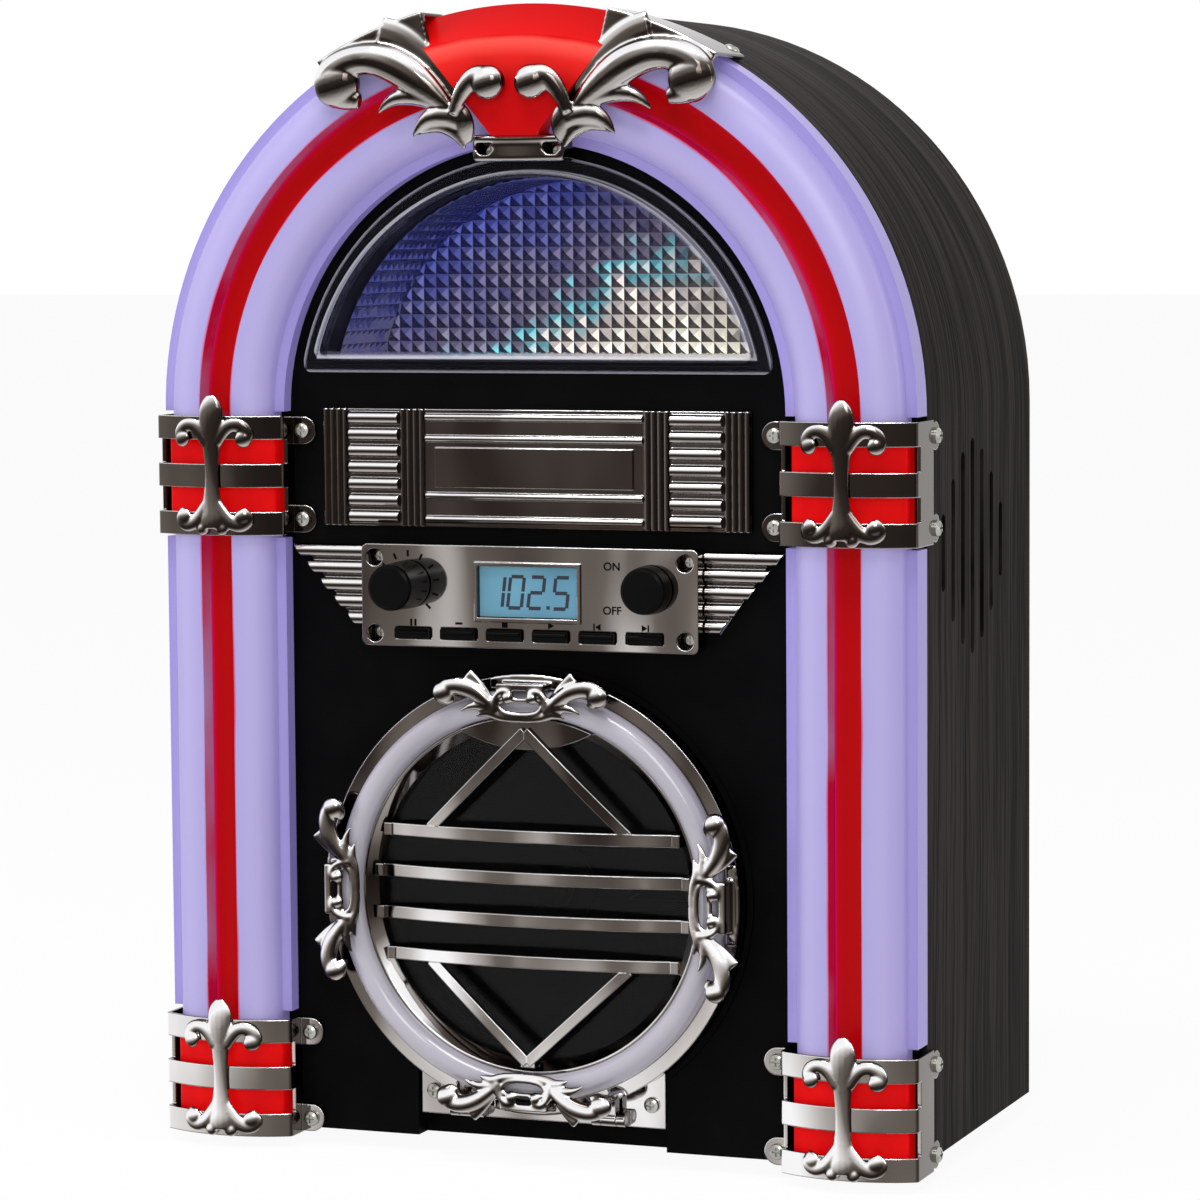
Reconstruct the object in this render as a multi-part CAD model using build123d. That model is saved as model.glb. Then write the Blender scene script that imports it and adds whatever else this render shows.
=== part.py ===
from build123d import *
import os
from math import acos, cos, degrees, pi, radians, sin, sqrt, tan

os.makedirs("parts", exist_ok=True)

# Table-top disc player and radio in the shape of an arched music box.
# Working frame: X to the right, Y towards the back, Z up, in millimetres.
# While it is built, y = 0 is the front panel's face and z = 0 the underside
# of the cabinet. Each piece is moved at the end, so that the origin is at the
# middle of the footprint, on the surface that the feet stand on.

# Standard disc, and the round door sized by it
disc_radius = 60.0
disc_thickness = 1.2
ring_margin = 1.3
ring_width = 8.9
door_edge = 4.8
ring_inner = disc_radius + ring_margin
ring_outer = ring_inner + ring_width
door_radius = ring_outer + door_edge
door_wall = 2.0
door_depth = 8.0
ring_front = 14.0
sight_step = 4.3
sight_radius = ring_inner - sight_step
lip_front = 9.5
lip_back = 5.5
grille_rim = 0.8
web_front = 5.0
web_back = 3.0
window_overlap = 5.0
window_radius = sight_radius + window_overlap
window_thickness = 1.5
grille_half = sight_radius + 0.4
grille_bar = 4.2
grille_bow = 7.0
grille_offsets = (20.5, 6.2, -8.3, -22.3)
strut_width = 3.6
strut_foot = 36.0
petal_half = 13.7
petal_reach = 0.5
petal_radius = 66.0
petal_thickness = 1.4

# Door hinge on its plate below the door
hinge_y = -2.5
hinge_z = 9.0
door_lift = 1.3
door_z = hinge_z + door_radius + door_lift
knuckle_radius = 2.4
pin_radius = 1.25
pin_gap = 0.05
knuckle_x = 26.0
knuckle_width = 5.4
lug_width = 3.0
hinge_plate_half = 44.8
hinge_plate_bottom_z = hinge_z - 3.0
hinge_plate_top_z = hinge_plate_bottom_z + 20.0
hinge_plate_front = 1.3
hinge_plate_thickness = 1.6
hinge_screw_x = hinge_plate_half - 4.8
hinge_screw_z = hinge_plate_bottom_z + 8.0
notch_half = hinge_plate_half + 0.8
notch_depth = 7.5

# Front panel: plate, rims and the margin between door and light tubes
fit_gap = 0.2
soft_gap = 0.3
panel_thickness = 3.0
panel_rim_depth = 5.4
panel_bottom_z = -1.7
lip_thickness = 2.3
lip_depth = 3.6
door_rim_gap = 0.5
door_rim = 1.8
panel_margin = 13.5

# Light tubes round the front, and the cabinet's width that follows from them
tube_width = 45.2
tube_inner = door_radius + door_rim_gap + door_rim + panel_margin
tube_outer = tube_inner + tube_width
tube_flange = 3.6
tube_crown = 13.4
tube_shoulder = 5.5
tube_skin = 1.8
strip_width = 10.8
strip_front = 7.0
strip_thickness = 1.5
arch_lamps = 16
column_lamps = 10
groove_gap = 0.3
flange_stop = 2.4

# Cabinet: bent board shell, arched on top
cabinet_half_width = tube_outer
shell_depth = 126.6
wall = 9.0
rear_rebate_depth = 6.0
rear_rebate_width = 5.0
rear_cover_thickness = 4.0
base_thickness = 9.0
foot_height = 7.5
foot_radius = 10.0
foot_inset_x = 27.7
foot_inset_front = 20.6
foot_inset_rear = 24.0

# Heights on the front: door, control panel, title plate, dome, arch
bezel_gap = 8.7
bezel_height = 34.75
title_gap_below = 5.75
title_height = 40.0
dome_gap = 12.4
dome_drop = 13.5
bezel_bottom_z = door_z + door_radius + bezel_gap
bezel_top_z = bezel_bottom_z + bezel_height
title_bottom_z = bezel_top_z + title_gap_below
title_top_z = title_bottom_z + title_height
dome_bottom_z = title_top_z + dome_gap
arch_centre_z = dome_bottom_z - dome_drop

# Chrome clips over the tubes
clip_height = 41.0
clip_band = 8.0
clip_thickness = 1.3
clip_wall_front = 9.5
clip_crown = 15.6
clip_upper_z = arch_centre_z - 21.9
clip_lower_z = clip_height / 2 - 3.5
clip_side_back = 8.5
clip_ear_radius = 4.7
clip_screw_x = tube_inner - 5.1
clip_screw_y = 11.0
clip_screw_spacing = 30.5
cover_overlap = 3.0
lens_half_width = tube_width / 2 - 2.6
lens_crown = 12.6

# Lily ornaments on the clips
lily_height = 50.0
lily_thickness = 2.4
lily_rise = 2.6

# Pan-head screws
screw_head_radius = 2.75
screw_head_height = 1.9
screw_shank_radius = 1.4
screw_length = 8.0
pilot_gap = 0.05

# Dome window and the patterned drum behind it
dome_margin = 4.3
dome_radius = tube_inner - dome_margin
dome_half_width = dome_radius - 1.9
dome_flange_thickness = 2.0
dome_rim_inset = 5.0
dome_rim_front = 6.5
dome_wall = 1.8
drum_inset = 7.0
drum_floor_drop = 3.2
drum_front = 8.4
drum_back = 50.0
drum_wall = 1.0

# Crest on top of the arch; its outline is drawn for one arch and scaled to this one
crest_drawn_centre = 248.4
crest_drawn_radius = 113.4
crest_bar_half = 16.3
crest_bar_bottom_z = arch_centre_z + dome_radius - 2.1
crest_bar_foot_z = arch_centre_z + dome_radius + soft_gap
crest_bar_top_z = arch_centre_z + tube_inner + 1.8
crest_bar_front = 10.0
crest_screw_x = 12.0
crest_screw_seat = 6.2
crest_scroll_front = 20.0
crest_bulb_x = 63.5
crest_bulb_z = 359.5
crest_bulb_radius = 7.6
crest_ear_angle = 61.0
crest_lens_lip = 1.0
crest_lens_top = cabinet_half_width + crest_lens_lip
crest_lens_front = 18.0
crest_lens_shoulder = crest_lens_top - 10.6
crest_lens_base_z = crest_bar_top_z + 0.5
crest_lens_bottom_half = 8.0
crest_lens_top_half = 44.5

# Title plate
title_gap = 3.35
title_half_width = clip_screw_x - clip_ear_radius - title_gap
title_base_thickness = 2.0
flute_count = 4
flute_pitch = 2.35
flute_radius = 1.1
rib_count = 7
rib_radius = 2.1
rib_inset = 3.1
rib_field = 19.1

# Control panel
bezel_half_width = title_half_width - 16.65
bezel_front = 8.5
bezel_wall = 1.6
bezel_screw_x = bezel_half_width - 4.7
bezel_screw_z = (bezel_bottom_z + 4.2, bezel_top_z - 4.55)
board_half = bezel_half_width - 10.4
board_gap = 0.4
knob_x = bezel_half_width - 17.2
knob_z = bezel_bottom_z + 21.2
knob_radius = 8.25
volume_reach = 17.0
light_reach = 8.0
knob_standoff = 0.8
shaft_radius = 3.0
plunger_radius = 2.0
shaft_gap = 0.05
button_pitch = 16.8
button_width = 12.6
button_height = 3.6
button_z = bezel_bottom_z + 4.6
button_reach = 1.8
button_travel = 1.0
button_count = 6
lcd_half_width = 18.1
lcd_height = 17.5
lcd_bottom_z = bezel_bottom_z + 10.5
lcd_top_z = lcd_bottom_z + lcd_height
board_thickness = 1.6
board_front = 1.0
stud_x = lcd_half_width + 12.9
stud_radius = 2.0

# Stepped fins each side of the control panel
fin_count = 5
fin_pitch = 5.8
fin_radius = 2.3
fin_top_z = bezel_top_z - 3.15
fin_top_tip = tube_inner - 1.5
fin_tip_step = 5.0
fin_base = 1.2

# Disc well and drive
disc_front = 12.2
well_gap = 2.5
well_wall = 1.8
well_floor_front = 22.0
well_floor_thickness = 2.0
well_flange = 4.7
well_flange_radius = disc_radius + well_gap + well_wall + well_flange
hub_radius = 14.5
hub_nose_radius = 7.4
hub_nose_reach = 2.8
spindle_radius = 1.0
chassis_front = 30.0
chassis_thickness = 1.5
motor_radius = 12.0
motor_length = 10.5
sled_start = 24.5
sled_travel = 33.0
sled_length = 24.0
sled_half = 11.0
rod_y = 27.0
rod_offset = 14.0
rod_radius = 1.5
rod_gap = 0.05
tooth_module = 0.8
pinion_teeth = 14
wheel_teeth = 26
motor_teeth = 12
rack_line = 23.2
gear_x = 44.0
gear_backlash = 0.14

# Touch latch
latch_inset = 1.2
latch_z = door_z + ring_outer - latch_inset
hook_half_height = 1.75
hook_half_width = 3.0
hook_reach = 9.0
latch_front = 9.6
latch_depth = 16.0
latch_travel = 1.5
latch_head = 2.4

# Loudspeakers, one behind the slots of each side
speaker_y = 59.0
speaker_z = arch_centre_z - 46.4
speaker_radius = 41.5
speaker_plate = 2.5
cone_radius = 30.0
cone_gap = 0.3
cone_depth = 13.0
coil_radius = 9.6
magnet_radius = 22.0
slot_count = 7
slot_pitch = 11.6
slot_width = 4.4
slot_half_heights = (13.0, 24.0, 32.5, 36.8)

# Boards, supply and rear fittings
main_half = 50.0
main_depth = 48.0
main_inset = 8.0
main_lift = 6.0
supply_side_gap = 21.0
supply_width = 44.0
supply_x = cabinet_half_width - wall - supply_side_gap - supply_width
supply_depth = 34.0
supply_height = 36.0
supply_inset = 28.0
coil_overhang = 6.0
coil_inset = 8.0
inlet_inset = 66.0
inlet_x = cabinet_half_width - inlet_inset
inlet_z = 46.0
jack_inset = 66.0
jack_x = jack_inset - cabinet_half_width

back_y = panel_rim_depth + shell_depth
rear_rebate_y = back_y - rear_rebate_depth
cover_back_y = rear_rebate_y + rear_cover_thickness
front_reach = bezel_front + volume_reach
tube_mid = (tube_outer + tube_inner) / 2
tube_half = (tube_outer - tube_inner) / 2
frame_shift = Pos(0, (front_reach - back_y) / 2, foot_height)
nodes = {}


def slab(sketch, front, back):
    """Extrude a sketch, drawn in X and Z, from y = front to y = back."""
    return Pos(0, back, 0) * extrude(Plane.XZ * sketch, amount=back - front)


def block(x0, x1, y0, y1, z0, z1):
    """Box between two corners."""
    middle = Pos((x0 + x1) / 2, (y0 + y1) / 2, (z0 + z1) / 2)
    return middle * Box(x1 - x0, y1 - y0, z1 - z0)


def rectangle(x0, x1, z0, z1):
    """Rectangle between two corners, for slab."""
    return Pos((x0 + x1) / 2, (z0 + z1) / 2) * Rectangle(x1 - x0, z1 - z0)


def disc_at(x, z, radius):
    """Round sketch, for slab."""
    return Pos(x, z) * Circle(radius)


def rod(x, z, radius, front, back):
    """Cylinder along Y."""
    return slab(disc_at(x, z, radius), front, back)


def cross_rod(y, z, radius, x0, x1):
    """Cylinder along X."""
    return Pos((x0 + x1) / 2, y, z) * Rot(0, 90, 0) * Cylinder(radius, x1 - x0)


def turned(profile, x=0, z=0):
    """Solid turned about the Y axis through (x, z) from (radius, y) points."""
    face = make_face(Polyline(*profile, close=True))
    return Pos(x, 0, z) * revolve(face, Axis.Y, 360)


def mirrored(shape):
    """The same piece on the other side of the middle plane."""
    return mirror(shape, about=Plane.YZ)


def arch_sketch(half_width, bottom_z):
    """Arched outline: straight sides and a half circle on top."""
    body = rectangle(-half_width, half_width, bottom_z, arch_centre_z)
    return body + disc_at(0, arch_centre_z, half_width)


def dome_sketch(inset, drop=0):
    """Half-round window outline, set in from the flange's edge; its floor may drop."""
    bottom = dome_bottom_z + inset - drop
    half = dome_half_width - inset + drop
    span = rectangle(-half, half, bottom, arch_centre_z + dome_radius)
    outline = disc_at(0, arch_centre_z, dome_radius - inset) & span
    corners = outline.vertices().group_by(Axis.Y)[0]
    return fillet(corners, 2.5)


def gear_sketch(teeth, phase):
    """Spur gear outline; a tooth points to the angle phase, in degrees."""
    pitch_radius = tooth_module * teeth / 2
    base_radius = pitch_radius * cos(radians(20))
    tip = pitch_radius + 0.75 * tooth_module
    root = pitch_radius - tooth_module
    flank = (root, max(base_radius, root + 0.05), pitch_radius, tip)
    half_pitch = pi / (2 * teeth) - gear_backlash / (2 * pitch_radius)

    def half_angle(radius):
        pressure = acos(min(1.0, base_radius / radius))
        involute = tan(pressure) - pressure
        at_pitch = tan(radians(20)) - radians(20)
        return half_pitch + at_pitch - involute

    points = []
    for tooth in range(teeth):
        middle = radians(phase) + 2 * pi * tooth / teeth
        for radius in flank:
            angle = middle - half_angle(radius)
            points.append((radius * cos(angle), radius * sin(angle)))
        for radius in reversed(flank):
            angle = middle + half_angle(radius)
            points.append((radius * cos(angle), radius * sin(angle)))
    return make_face(Polyline(*points, close=True))


def pan_screw():
    """Pan-head screw along +Y; its head seats at y = 0 and points to -Y."""
    face = -screw_head_height
    profile = [
        (0, face), (1.6, face), (screw_head_radius - 0.3, face + 0.5),
        (screw_head_radius, face + 1.1), (screw_head_radius, 0),
        (screw_shank_radius, 0), (screw_shank_radius, screw_length - 1.2),
        (0.3, screw_length), (0, screw_length),
    ]
    body = turned(profile)
    slot = block(-1.5, 1.5, face, face + 0.9, -0.35, 0.35)
    return body - slot - Rot(0, 90, 0) * slot


def pilot(x, z, front, depth=screw_length):
    """Hole for a screw that points to +Y."""
    return rod(x, z, screw_shank_radius + pilot_gap, front, front + depth)


def add(name, *solids):
    """Keep a piece, or a group of like pieces, under its name."""
    shapes = []
    for solid in solids:
        shapes += (frame_shift * solid).solids()
    nodes[name] = shapes


clip_screw_zs = []
for clip_z in (clip_upper_z, clip_lower_z):
    for sign in (1, -1):
        clip_screw_zs.append(clip_z + sign * clip_screw_spacing / 2)
crest_screw_radius = (dome_radius + tube_inner) / 2
crest_screw_z = arch_centre_z + sqrt(crest_screw_radius ** 2 - crest_screw_x ** 2)


def side_screw_holes():
    """Pilot holes for the screws that run into the cabinet's sides."""
    holes = []
    for z in clip_screw_zs:
        hole = Rot(0, 0, 90) * pilot(clip_screw_y, z, -cabinet_half_width)
        holes += [hole, mirrored(hole)]
    return holes


def ear_pose(angle):
    """Frame on the arch's outer face, for a screw that points to its centre."""
    place = Pos(0, clip_screw_y, arch_centre_z) * Rot(0, -angle, 0)
    return place * Pos(cabinet_half_width, 0, 0) * Rot(0, 0, 90)


# Cabinet shell with its speaker slots and rear rebate
slot_lines = []
for index in range(slot_count):
    offset = index - (slot_count - 1) / 2
    half = slot_half_heights[slot_count // 2 - abs(int(offset))]
    slot_lines.append((speaker_y + offset * slot_pitch, half))


def cabinet_shell():
    inner_half = cabinet_half_width - wall
    shell = slab(arch_sketch(cabinet_half_width, 0), panel_rim_depth, back_y)
    shell -= slab(arch_sketch(inner_half, -1), panel_rim_depth, back_y)
    rebate = arch_sketch(inner_half + rear_rebate_width, -1)
    shell -= slab(rebate, rear_rebate_y, back_y)
    cutters = []
    for y, half in slot_lines:
        bar = Box(400, slot_width, 2 * half - slot_width)
        ends = Pos(0, 0, half - slot_width / 2) * Rot(0, 90, 0) * Cylinder(slot_width / 2, 400)
        low = Pos(0, 0, slot_width / 2 - half) * Rot(0, 90, 0) * Cylinder(slot_width / 2, 400)
        for piece in (bar, ends, low):
            cutters.append(Pos(0, y, speaker_z) * piece)
    cutters += side_screw_holes()
    for angle in (crest_ear_angle, 180 - crest_ear_angle):
        cutters.append(ear_pose(angle) * pilot(0, 0, 0))
    for x, z in rear_screw_places():
        cutters.append(rod(x, z, screw_shank_radius + pilot_gap, rear_rebate_y - 6, rear_rebate_y))
    return shell - cutters


def rear_screw_places():
    """Screws of the rear cover, in the middle of the rebate's ledge."""
    ledge = cabinet_half_width - wall + rear_rebate_width / 2 - 0.6
    places = []
    for z in (20.0, 130.0):
        places += [(ledge, z), (-ledge, z)]
    for angle in (10, 65, 115, 170):
        x = ledge * cos(radians(angle))
        z = arch_centre_z + ledge * sin(radians(angle))
        places.append((x, z))
    return places


def speaker_screw_places():
    """Screws of one loudspeaker, in Y and Z."""
    reach = speaker_radius - 3.5
    places = []
    for angle in (45, 135, 225, 315):
        y = speaker_y + reach * cos(radians(angle))
        z = speaker_z + reach * sin(radians(angle))
        places.append((y, z))
    return places


# Base board, set between the shell's sides, with a notch behind the door hinge
base_half = cabinet_half_width - wall - fit_gap / 2
foot_places = []
for foot_x in (cabinet_half_width - foot_inset_x, foot_inset_x - cabinet_half_width):
    for foot_y in (panel_rim_depth + foot_inset_front, back_y - foot_inset_rear):
        foot_places.append((foot_x, foot_y))


def base_board():
    board = block(-base_half, base_half, panel_rim_depth, rear_rebate_y, 0, base_thickness)
    pocket = notch_half + panel_thickness
    board -= block(-pocket, pocket, 0, notch_depth + panel_thickness, -1, 20)
    for x, y in foot_places:
        hole = Cylinder(screw_shank_radius + pilot_gap, base_thickness)
        board -= Pos(x, y, base_thickness / 2) * hole
    for z in clip_screw_zs[2:]:
        hole = pilot(clip_screw_x, z, 0)
        board -= [hole, mirrored(hole)]
    return board


foot_screw_seat = 2.5 - foot_height


def rubber_foot():
    height = foot_height
    low = foot_radius - 1.2
    recess = screw_head_radius + 1.2
    seat = foot_screw_seat
    hole = screw_shank_radius + pilot_gap
    profile = [(foot_radius, 0), (foot_radius, -height * 0.6), (low, -height), (recess, -height),
               (recess, seat), (hole, seat), (hole, 0)]
    face = make_face(Polyline(*profile, close=True))
    return revolve(Plane.XZ * face, Axis.Z, 360)


def rear_cover():
    half = cabinet_half_width - wall + rear_rebate_width - 0.3
    cover = slab(arch_sketch(half, 0.3), rear_rebate_y, cover_back_y)
    cutters = []
    for row in range(7):
        slot = rectangle(-26, 26, 150 + 9 * row, 153 + 9 * row)
        cutters.append(slab(slot, rear_rebate_y, cover_back_y))
    cutters.append(slab(rectangle(inlet_x - 13, inlet_x + 13, inlet_z - 8.5, inlet_z + 8.5),
                        rear_rebate_y, cover_back_y))
    cutters.append(rod(jack_x, inlet_z, 4.0, rear_rebate_y, cover_back_y))
    for x, z in rear_screw_places():
        hole = screw_shank_radius + pilot_gap
        cutters.append(rod(x, z, hole, rear_rebate_y, cover_back_y))
    return cover - cutters


# Front panel: moulded plate with rim, locating lip, openings and hinge pocket
def disc_opening():
    return disc_radius + well_gap


def front_panel():
    rim_half = tube_outer - 2.1
    plate = slab(arch_sketch(rim_half, panel_bottom_z), 0, panel_rim_depth)
    plate -= slab(arch_sketch(rim_half - 6.7, base_thickness), panel_thickness, panel_rim_depth)
    lip_half = cabinet_half_width - wall - fit_gap
    lip = arch_sketch(lip_half, base_thickness + fit_gap)
    lip -= arch_sketch(lip_half - lip_thickness, 0)
    plate += slab(lip, panel_thickness, panel_rim_depth + lip_depth)
    collar = dome_sketch(dome_rim_inset + 0.5, drum_floor_drop) - dome_sketch(drum_inset, drum_floor_drop)
    plate += slab(collar, panel_thickness, drum_front)
    side = notch_half + panel_thickness
    plate_back = hinge_plate_front + hinge_plate_thickness
    deep = rectangle(-side, side, panel_bottom_z, hinge_plate_bottom_z + 2.0)
    shallow = rectangle(-side, side, hinge_plate_bottom_z, hinge_plate_top_z + panel_thickness)
    plate += slab(deep, 0, notch_depth + 2.0)
    plate += slab(shallow, 0, panel_rim_depth)
    for x in (hinge_screw_x, -hinge_screw_x):
        plate += rod(x, hinge_screw_z, 4.0, panel_thickness, hinge_plate_front + screw_length + 1)
    rim_start = door_radius + door_rim_gap
    plate += slab(disc_at(0, door_z, rim_start + door_rim) - disc_at(0, door_z, rim_start), -1.2, 0)
    cutters = [
        slab(rectangle(-notch_half, notch_half, panel_bottom_z - 1, hinge_plate_bottom_z), -5, notch_depth),
        slab(rectangle(-notch_half, notch_half, 0, hinge_plate_top_z + 0.5), -5, plate_back),
        rod(0, door_z, disc_opening() + well_wall + fit_gap, panel_thickness, 30),
        slab(dome_sketch(drum_inset, drum_floor_drop), -1, drum_front),
        rod(0, door_z, disc_opening(), -5, 20),
        slab(rectangle(-board_half - board_gap, board_half + board_gap,
                       bezel_bottom_z + 2.2, bezel_top_z - 2.55), -1, 20),
        slab(rectangle(-hook_half_width - 1.5, hook_half_width + 1.5,
                       latch_z - hook_half_height - 1, latch_z + hook_half_height + 1.2), -5, 20),
    ]
    for z in bezel_screw_z:
        cutters += [pilot(bezel_screw_x, z, -1), pilot(-bezel_screw_x, z, -1)]
    for z in clip_screw_zs:
        cutters += [pilot(clip_screw_x, z, -1), pilot(-clip_screw_x, z, -1)]
    for x in (crest_screw_x, -crest_screw_x):
        cutters.append(pilot(x, crest_screw_z, -1))
    for x in (hinge_screw_x, -hinge_screw_x):
        cutters.append(pilot(x, hinge_screw_z, hinge_plate_front))
    return plate - cutters


# Light tubes: one arched cover, two straight covers, red strips, light boards
def tube_sketch(inset):
    """Section across a tube, in x from its middle and y, set in by a wall."""
    outer = tube_half - tube_flange - inset
    groove = strip_width / 2 + groove_gap + inset
    crown = tube_crown - inset
    floor = strip_front - strip_thickness - inset
    rise = crown - tube_shoulder
    width = outer - groove
    right = EllipticalCenterArc((groove, -tube_shoulder), width, rise, start_angle=270, arc_size=90)
    left = EllipticalCenterArc((-groove, -tube_shoulder), width, rise, start_angle=180, arc_size=90)
    lines = [
        Line((-outer, 0), (-outer, -tube_shoulder)),
        left,
        Line((-groove, -crown), (-groove, -floor)),
        Line((-groove, -floor), (groove, -floor)),
        Line((groove, -floor), (groove, -crown)),
        right,
        Line((outer, -tube_shoulder), (outer, 0)),
        Line((outer, 0), (-outer, 0)),
    ]
    return make_face(lines)


def flat_section(x0, x1, y0, y1):
    return Pos((x0 + x1) / 2, (y0 + y1) / 2) * Rectangle(x1 - x0, y1 - y0)


def cover_sketch(flanged):
    """Wall of the tube cover, with its side flanges and skirt."""
    wall_part = tube_sketch(0) - tube_sketch(tube_skin)
    if not flanged:
        return wall_part
    inner = flat_section(-tube_half, -tube_half + tube_flange + 0.4, -tube_shoulder, 0)
    outer = flat_section(tube_half - tube_flange - 0.4, tube_half, -tube_shoulder, 0)
    skirt = flat_section(tube_half - 2.0, tube_half, 0, panel_rim_depth)
    return wall_part + inner + outer + skirt


def along_arch(sketch, start=0.0, sweep=180.0):
    """Turn a section round the arch, from start degrees above the right side."""
    section = Pos(tube_mid, 0) * sketch
    ring = revolve(section, Axis((0, 0, 0), (0, -1, 0)), sweep)
    return Pos(0, 0, arch_centre_z) * Rot(0, -start, 0) * ring


def along_column(sketch, z0, z1):
    """Right-hand column of a section between two heights."""
    return Pos(tube_mid, 0, z0) * extrude(sketch, amount=z1 - z0)


clip_reach = clip_height / 2
arch_foot_z = clip_upper_z + clip_reach - cover_overlap
column_bottom_z = clip_lower_z + clip_reach - cover_overlap
column_top_z = clip_upper_z - clip_reach + cover_overlap


def arch_light_cover():
    """Arched cover with short plain feet that go under the upper clips."""
    cover = along_arch(cover_sketch(True))
    foot = along_column(cover_sketch(False), arch_foot_z, arch_centre_z)
    return cover + foot + mirrored(foot)


def column_light_cover():
    low = clip_lower_z + clip_reach + flange_stop
    high = clip_upper_z - clip_reach - flange_stop / 2
    cover = along_column(cover_sketch(False), column_bottom_z, column_top_z)
    return cover + along_column(cover_sketch(True), low, high)


def strip_sketch():
    half = strip_width / 2
    return flat_section(-half, half, -strip_front, -strip_front + strip_thickness)


def light_board():
    return flat_section(-8, 8, -board_thickness, 0)


def small_lamp(z):
    front = -board_thickness - 1.2
    return block(tube_mid - 1.8, tube_mid + 1.8, front, -board_thickness, z - 1.4, z + 1.4)


def light_boards():
    """Thin boards on the panel's face, each with a row of small lamps."""
    solids = [along_arch(light_board(), 1, 178)]
    for step in range(arch_lamps):
        angle = 6 + step * 168 / (arch_lamps - 1)
        solids.append(Pos(0, 0, arch_centre_z) * Rot(0, -angle, 0) * small_lamp(0))
    low = clip_lower_z - 14
    high = clip_upper_z + 14
    board = along_column(light_board(), low, high)
    solids += [board, mirrored(board)]
    for step in range(column_lamps):
        lamp = small_lamp(low + 6 + step * (high - low - 12) / (column_lamps - 1))
        solids += [lamp, mirrored(lamp)]
    return solids


# Chrome clips with three bands, and the red lens block inside each
def clip_sketch(half, front, crown):
    """Closed outline across a clip: straight walls and a bowed front."""
    lines = [
        Line((-half, 0), (-half, -front)),
        ThreePointArc((-half, -front), (0, -crown), (half, -front)),
        Line((half, -front), (half, 0)),
        Line((half, 0), (-half, 0)),
    ]
    outline = make_face(lines)
    corners = outline.vertices().filter_by(lambda v: v.Y < -1)
    return fillet(corners, 1.8)


clip_half = cabinet_half_width + clip_thickness - tube_mid


def clip(z):
    outer = clip_sketch(clip_half, clip_wall_front, clip_crown)
    inner = clip_sketch(clip_half - clip_thickness, clip_wall_front - 0.6, clip_crown - clip_thickness)
    band = outer - inner
    bottom = z - clip_height / 2
    step = (clip_height - clip_band) / 2
    body = None
    for index in range(3):
        ring = along_column(band, bottom + index * step, bottom + index * step + clip_band)
        body = ring if body is None else body + ring
    outer_x = cabinet_half_width + clip_thickness
    inner_x = tube_mid - clip_half
    top = bottom + clip_height
    body += block(cabinet_half_width, outer_x, -6.0, clip_side_back, bottom, top)
    body += block(inner_x, inner_x + clip_thickness, -6.0, 0, bottom, top)
    for offset in (-clip_screw_spacing / 2, clip_screw_spacing / 2):
        ear = rectangle(clip_screw_x, inner_x + 0.5,
                        z + offset - clip_ear_radius, z + offset + clip_ear_radius)
        ear += disc_at(clip_screw_x, z + offset, clip_ear_radius)
        body += slab(ear, -clip_thickness, 0)
        body -= pilot(clip_screw_x, z + offset, -3)
        side = Pos(cabinet_half_width, clip_screw_y, z + offset) * Rot(0, 90, 0)
        body += Pos(clip_thickness / 2, 0, 0) * side * Cylinder(clip_ear_radius, clip_thickness)
        body -= side * Cylinder(screw_shank_radius + pilot_gap, 8)
    return body


def bracket_lens(z):
    """Hollow red block that glows between the bands."""
    outer = clip_sketch(lens_half_width, clip_wall_front - 1.6, lens_crown)
    inner = clip_sketch(lens_half_width - 1.6, clip_wall_front - 3.0, lens_crown - 1.6)
    reach = clip_reach - cover_overlap - soft_gap
    return along_column(outer - inner, z - reach, z + reach)


# Lily ornament, flat on its back
def lily_sketch():
    half_stem = 2.5
    lobe = Pos(0, -7.2) * Ellipse(3.9, 7.2)
    stem_points = [(3.4, -11), (2.7, -18), (half_stem, -26), (2.9, -33), (4.3, -42), (5.2, -47)]
    right = Spline(*stem_points)
    left = Spline(*[(-x, z) for x, z in reversed(stem_points)])
    stem = make_face([right, Line((5.2, -47), (-5.2, -47)), left, Line((-3.4, -11), (3.4, -11))])
    foot = Pos(0, -46.0) * Circle(4.4)
    outline = lobe + stem + foot
    for side in (1, -1):
        upper = ThreePointArc((side * 2.2, -13.4), (side * 8.2, -10.2), (side * 11.4, -14.0))
        lower = ThreePointArc((side * 3.0, -45.6), (side * 9.2, -46.6), (side * 11.6, -42.6))
        outline += SlotArc(upper, 4.4)
        outline += Pos(side * 11.2, -13.8) * Circle(2.7)
        outline += SlotArc(lower, 4.4)
        outline += Pos(side * 11.4, -42.9) * Circle(2.6)
    return outline


def lily(z):
    """Ornament on the crown of a clip, whose middle is at height z."""
    top = z + lily_height / 2 + lily_rise
    sketch = Pos(tube_mid, top) * lily_sketch()
    return slab(sketch, -clip_crown - lily_thickness, -clip_crown)


# Crest lens and the scrolled crest ornament
def crest_wedge(bottom_half, top_half, base_z, top_z):
    """Fan outline, wider at the top."""
    points = [(-bottom_half, base_z), (bottom_half, base_z), (top_half, top_z), (-top_half, top_z)]
    return make_face(Polyline(*points, close=True))


def crest_envelope(radius_at, front):
    """Section of the crest lens: a flat face, a sloping top and a lip over the rim."""
    low = crest_lens_base_z - arch_centre_z
    back = panel_rim_depth - fit_gap
    points = [(low, -front), (crest_lens_shoulder, -front), (radius_at, -tube_shoulder),
              (radius_at, back), (low, back)]
    face = make_face(Polyline(*points, close=True))
    ring = revolve(face, Axis((0, 0, 0), (0, -1, 0)), 60)
    return Pos(0, 0, arch_centre_z) * Rot(0, -60, 0) * ring


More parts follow.
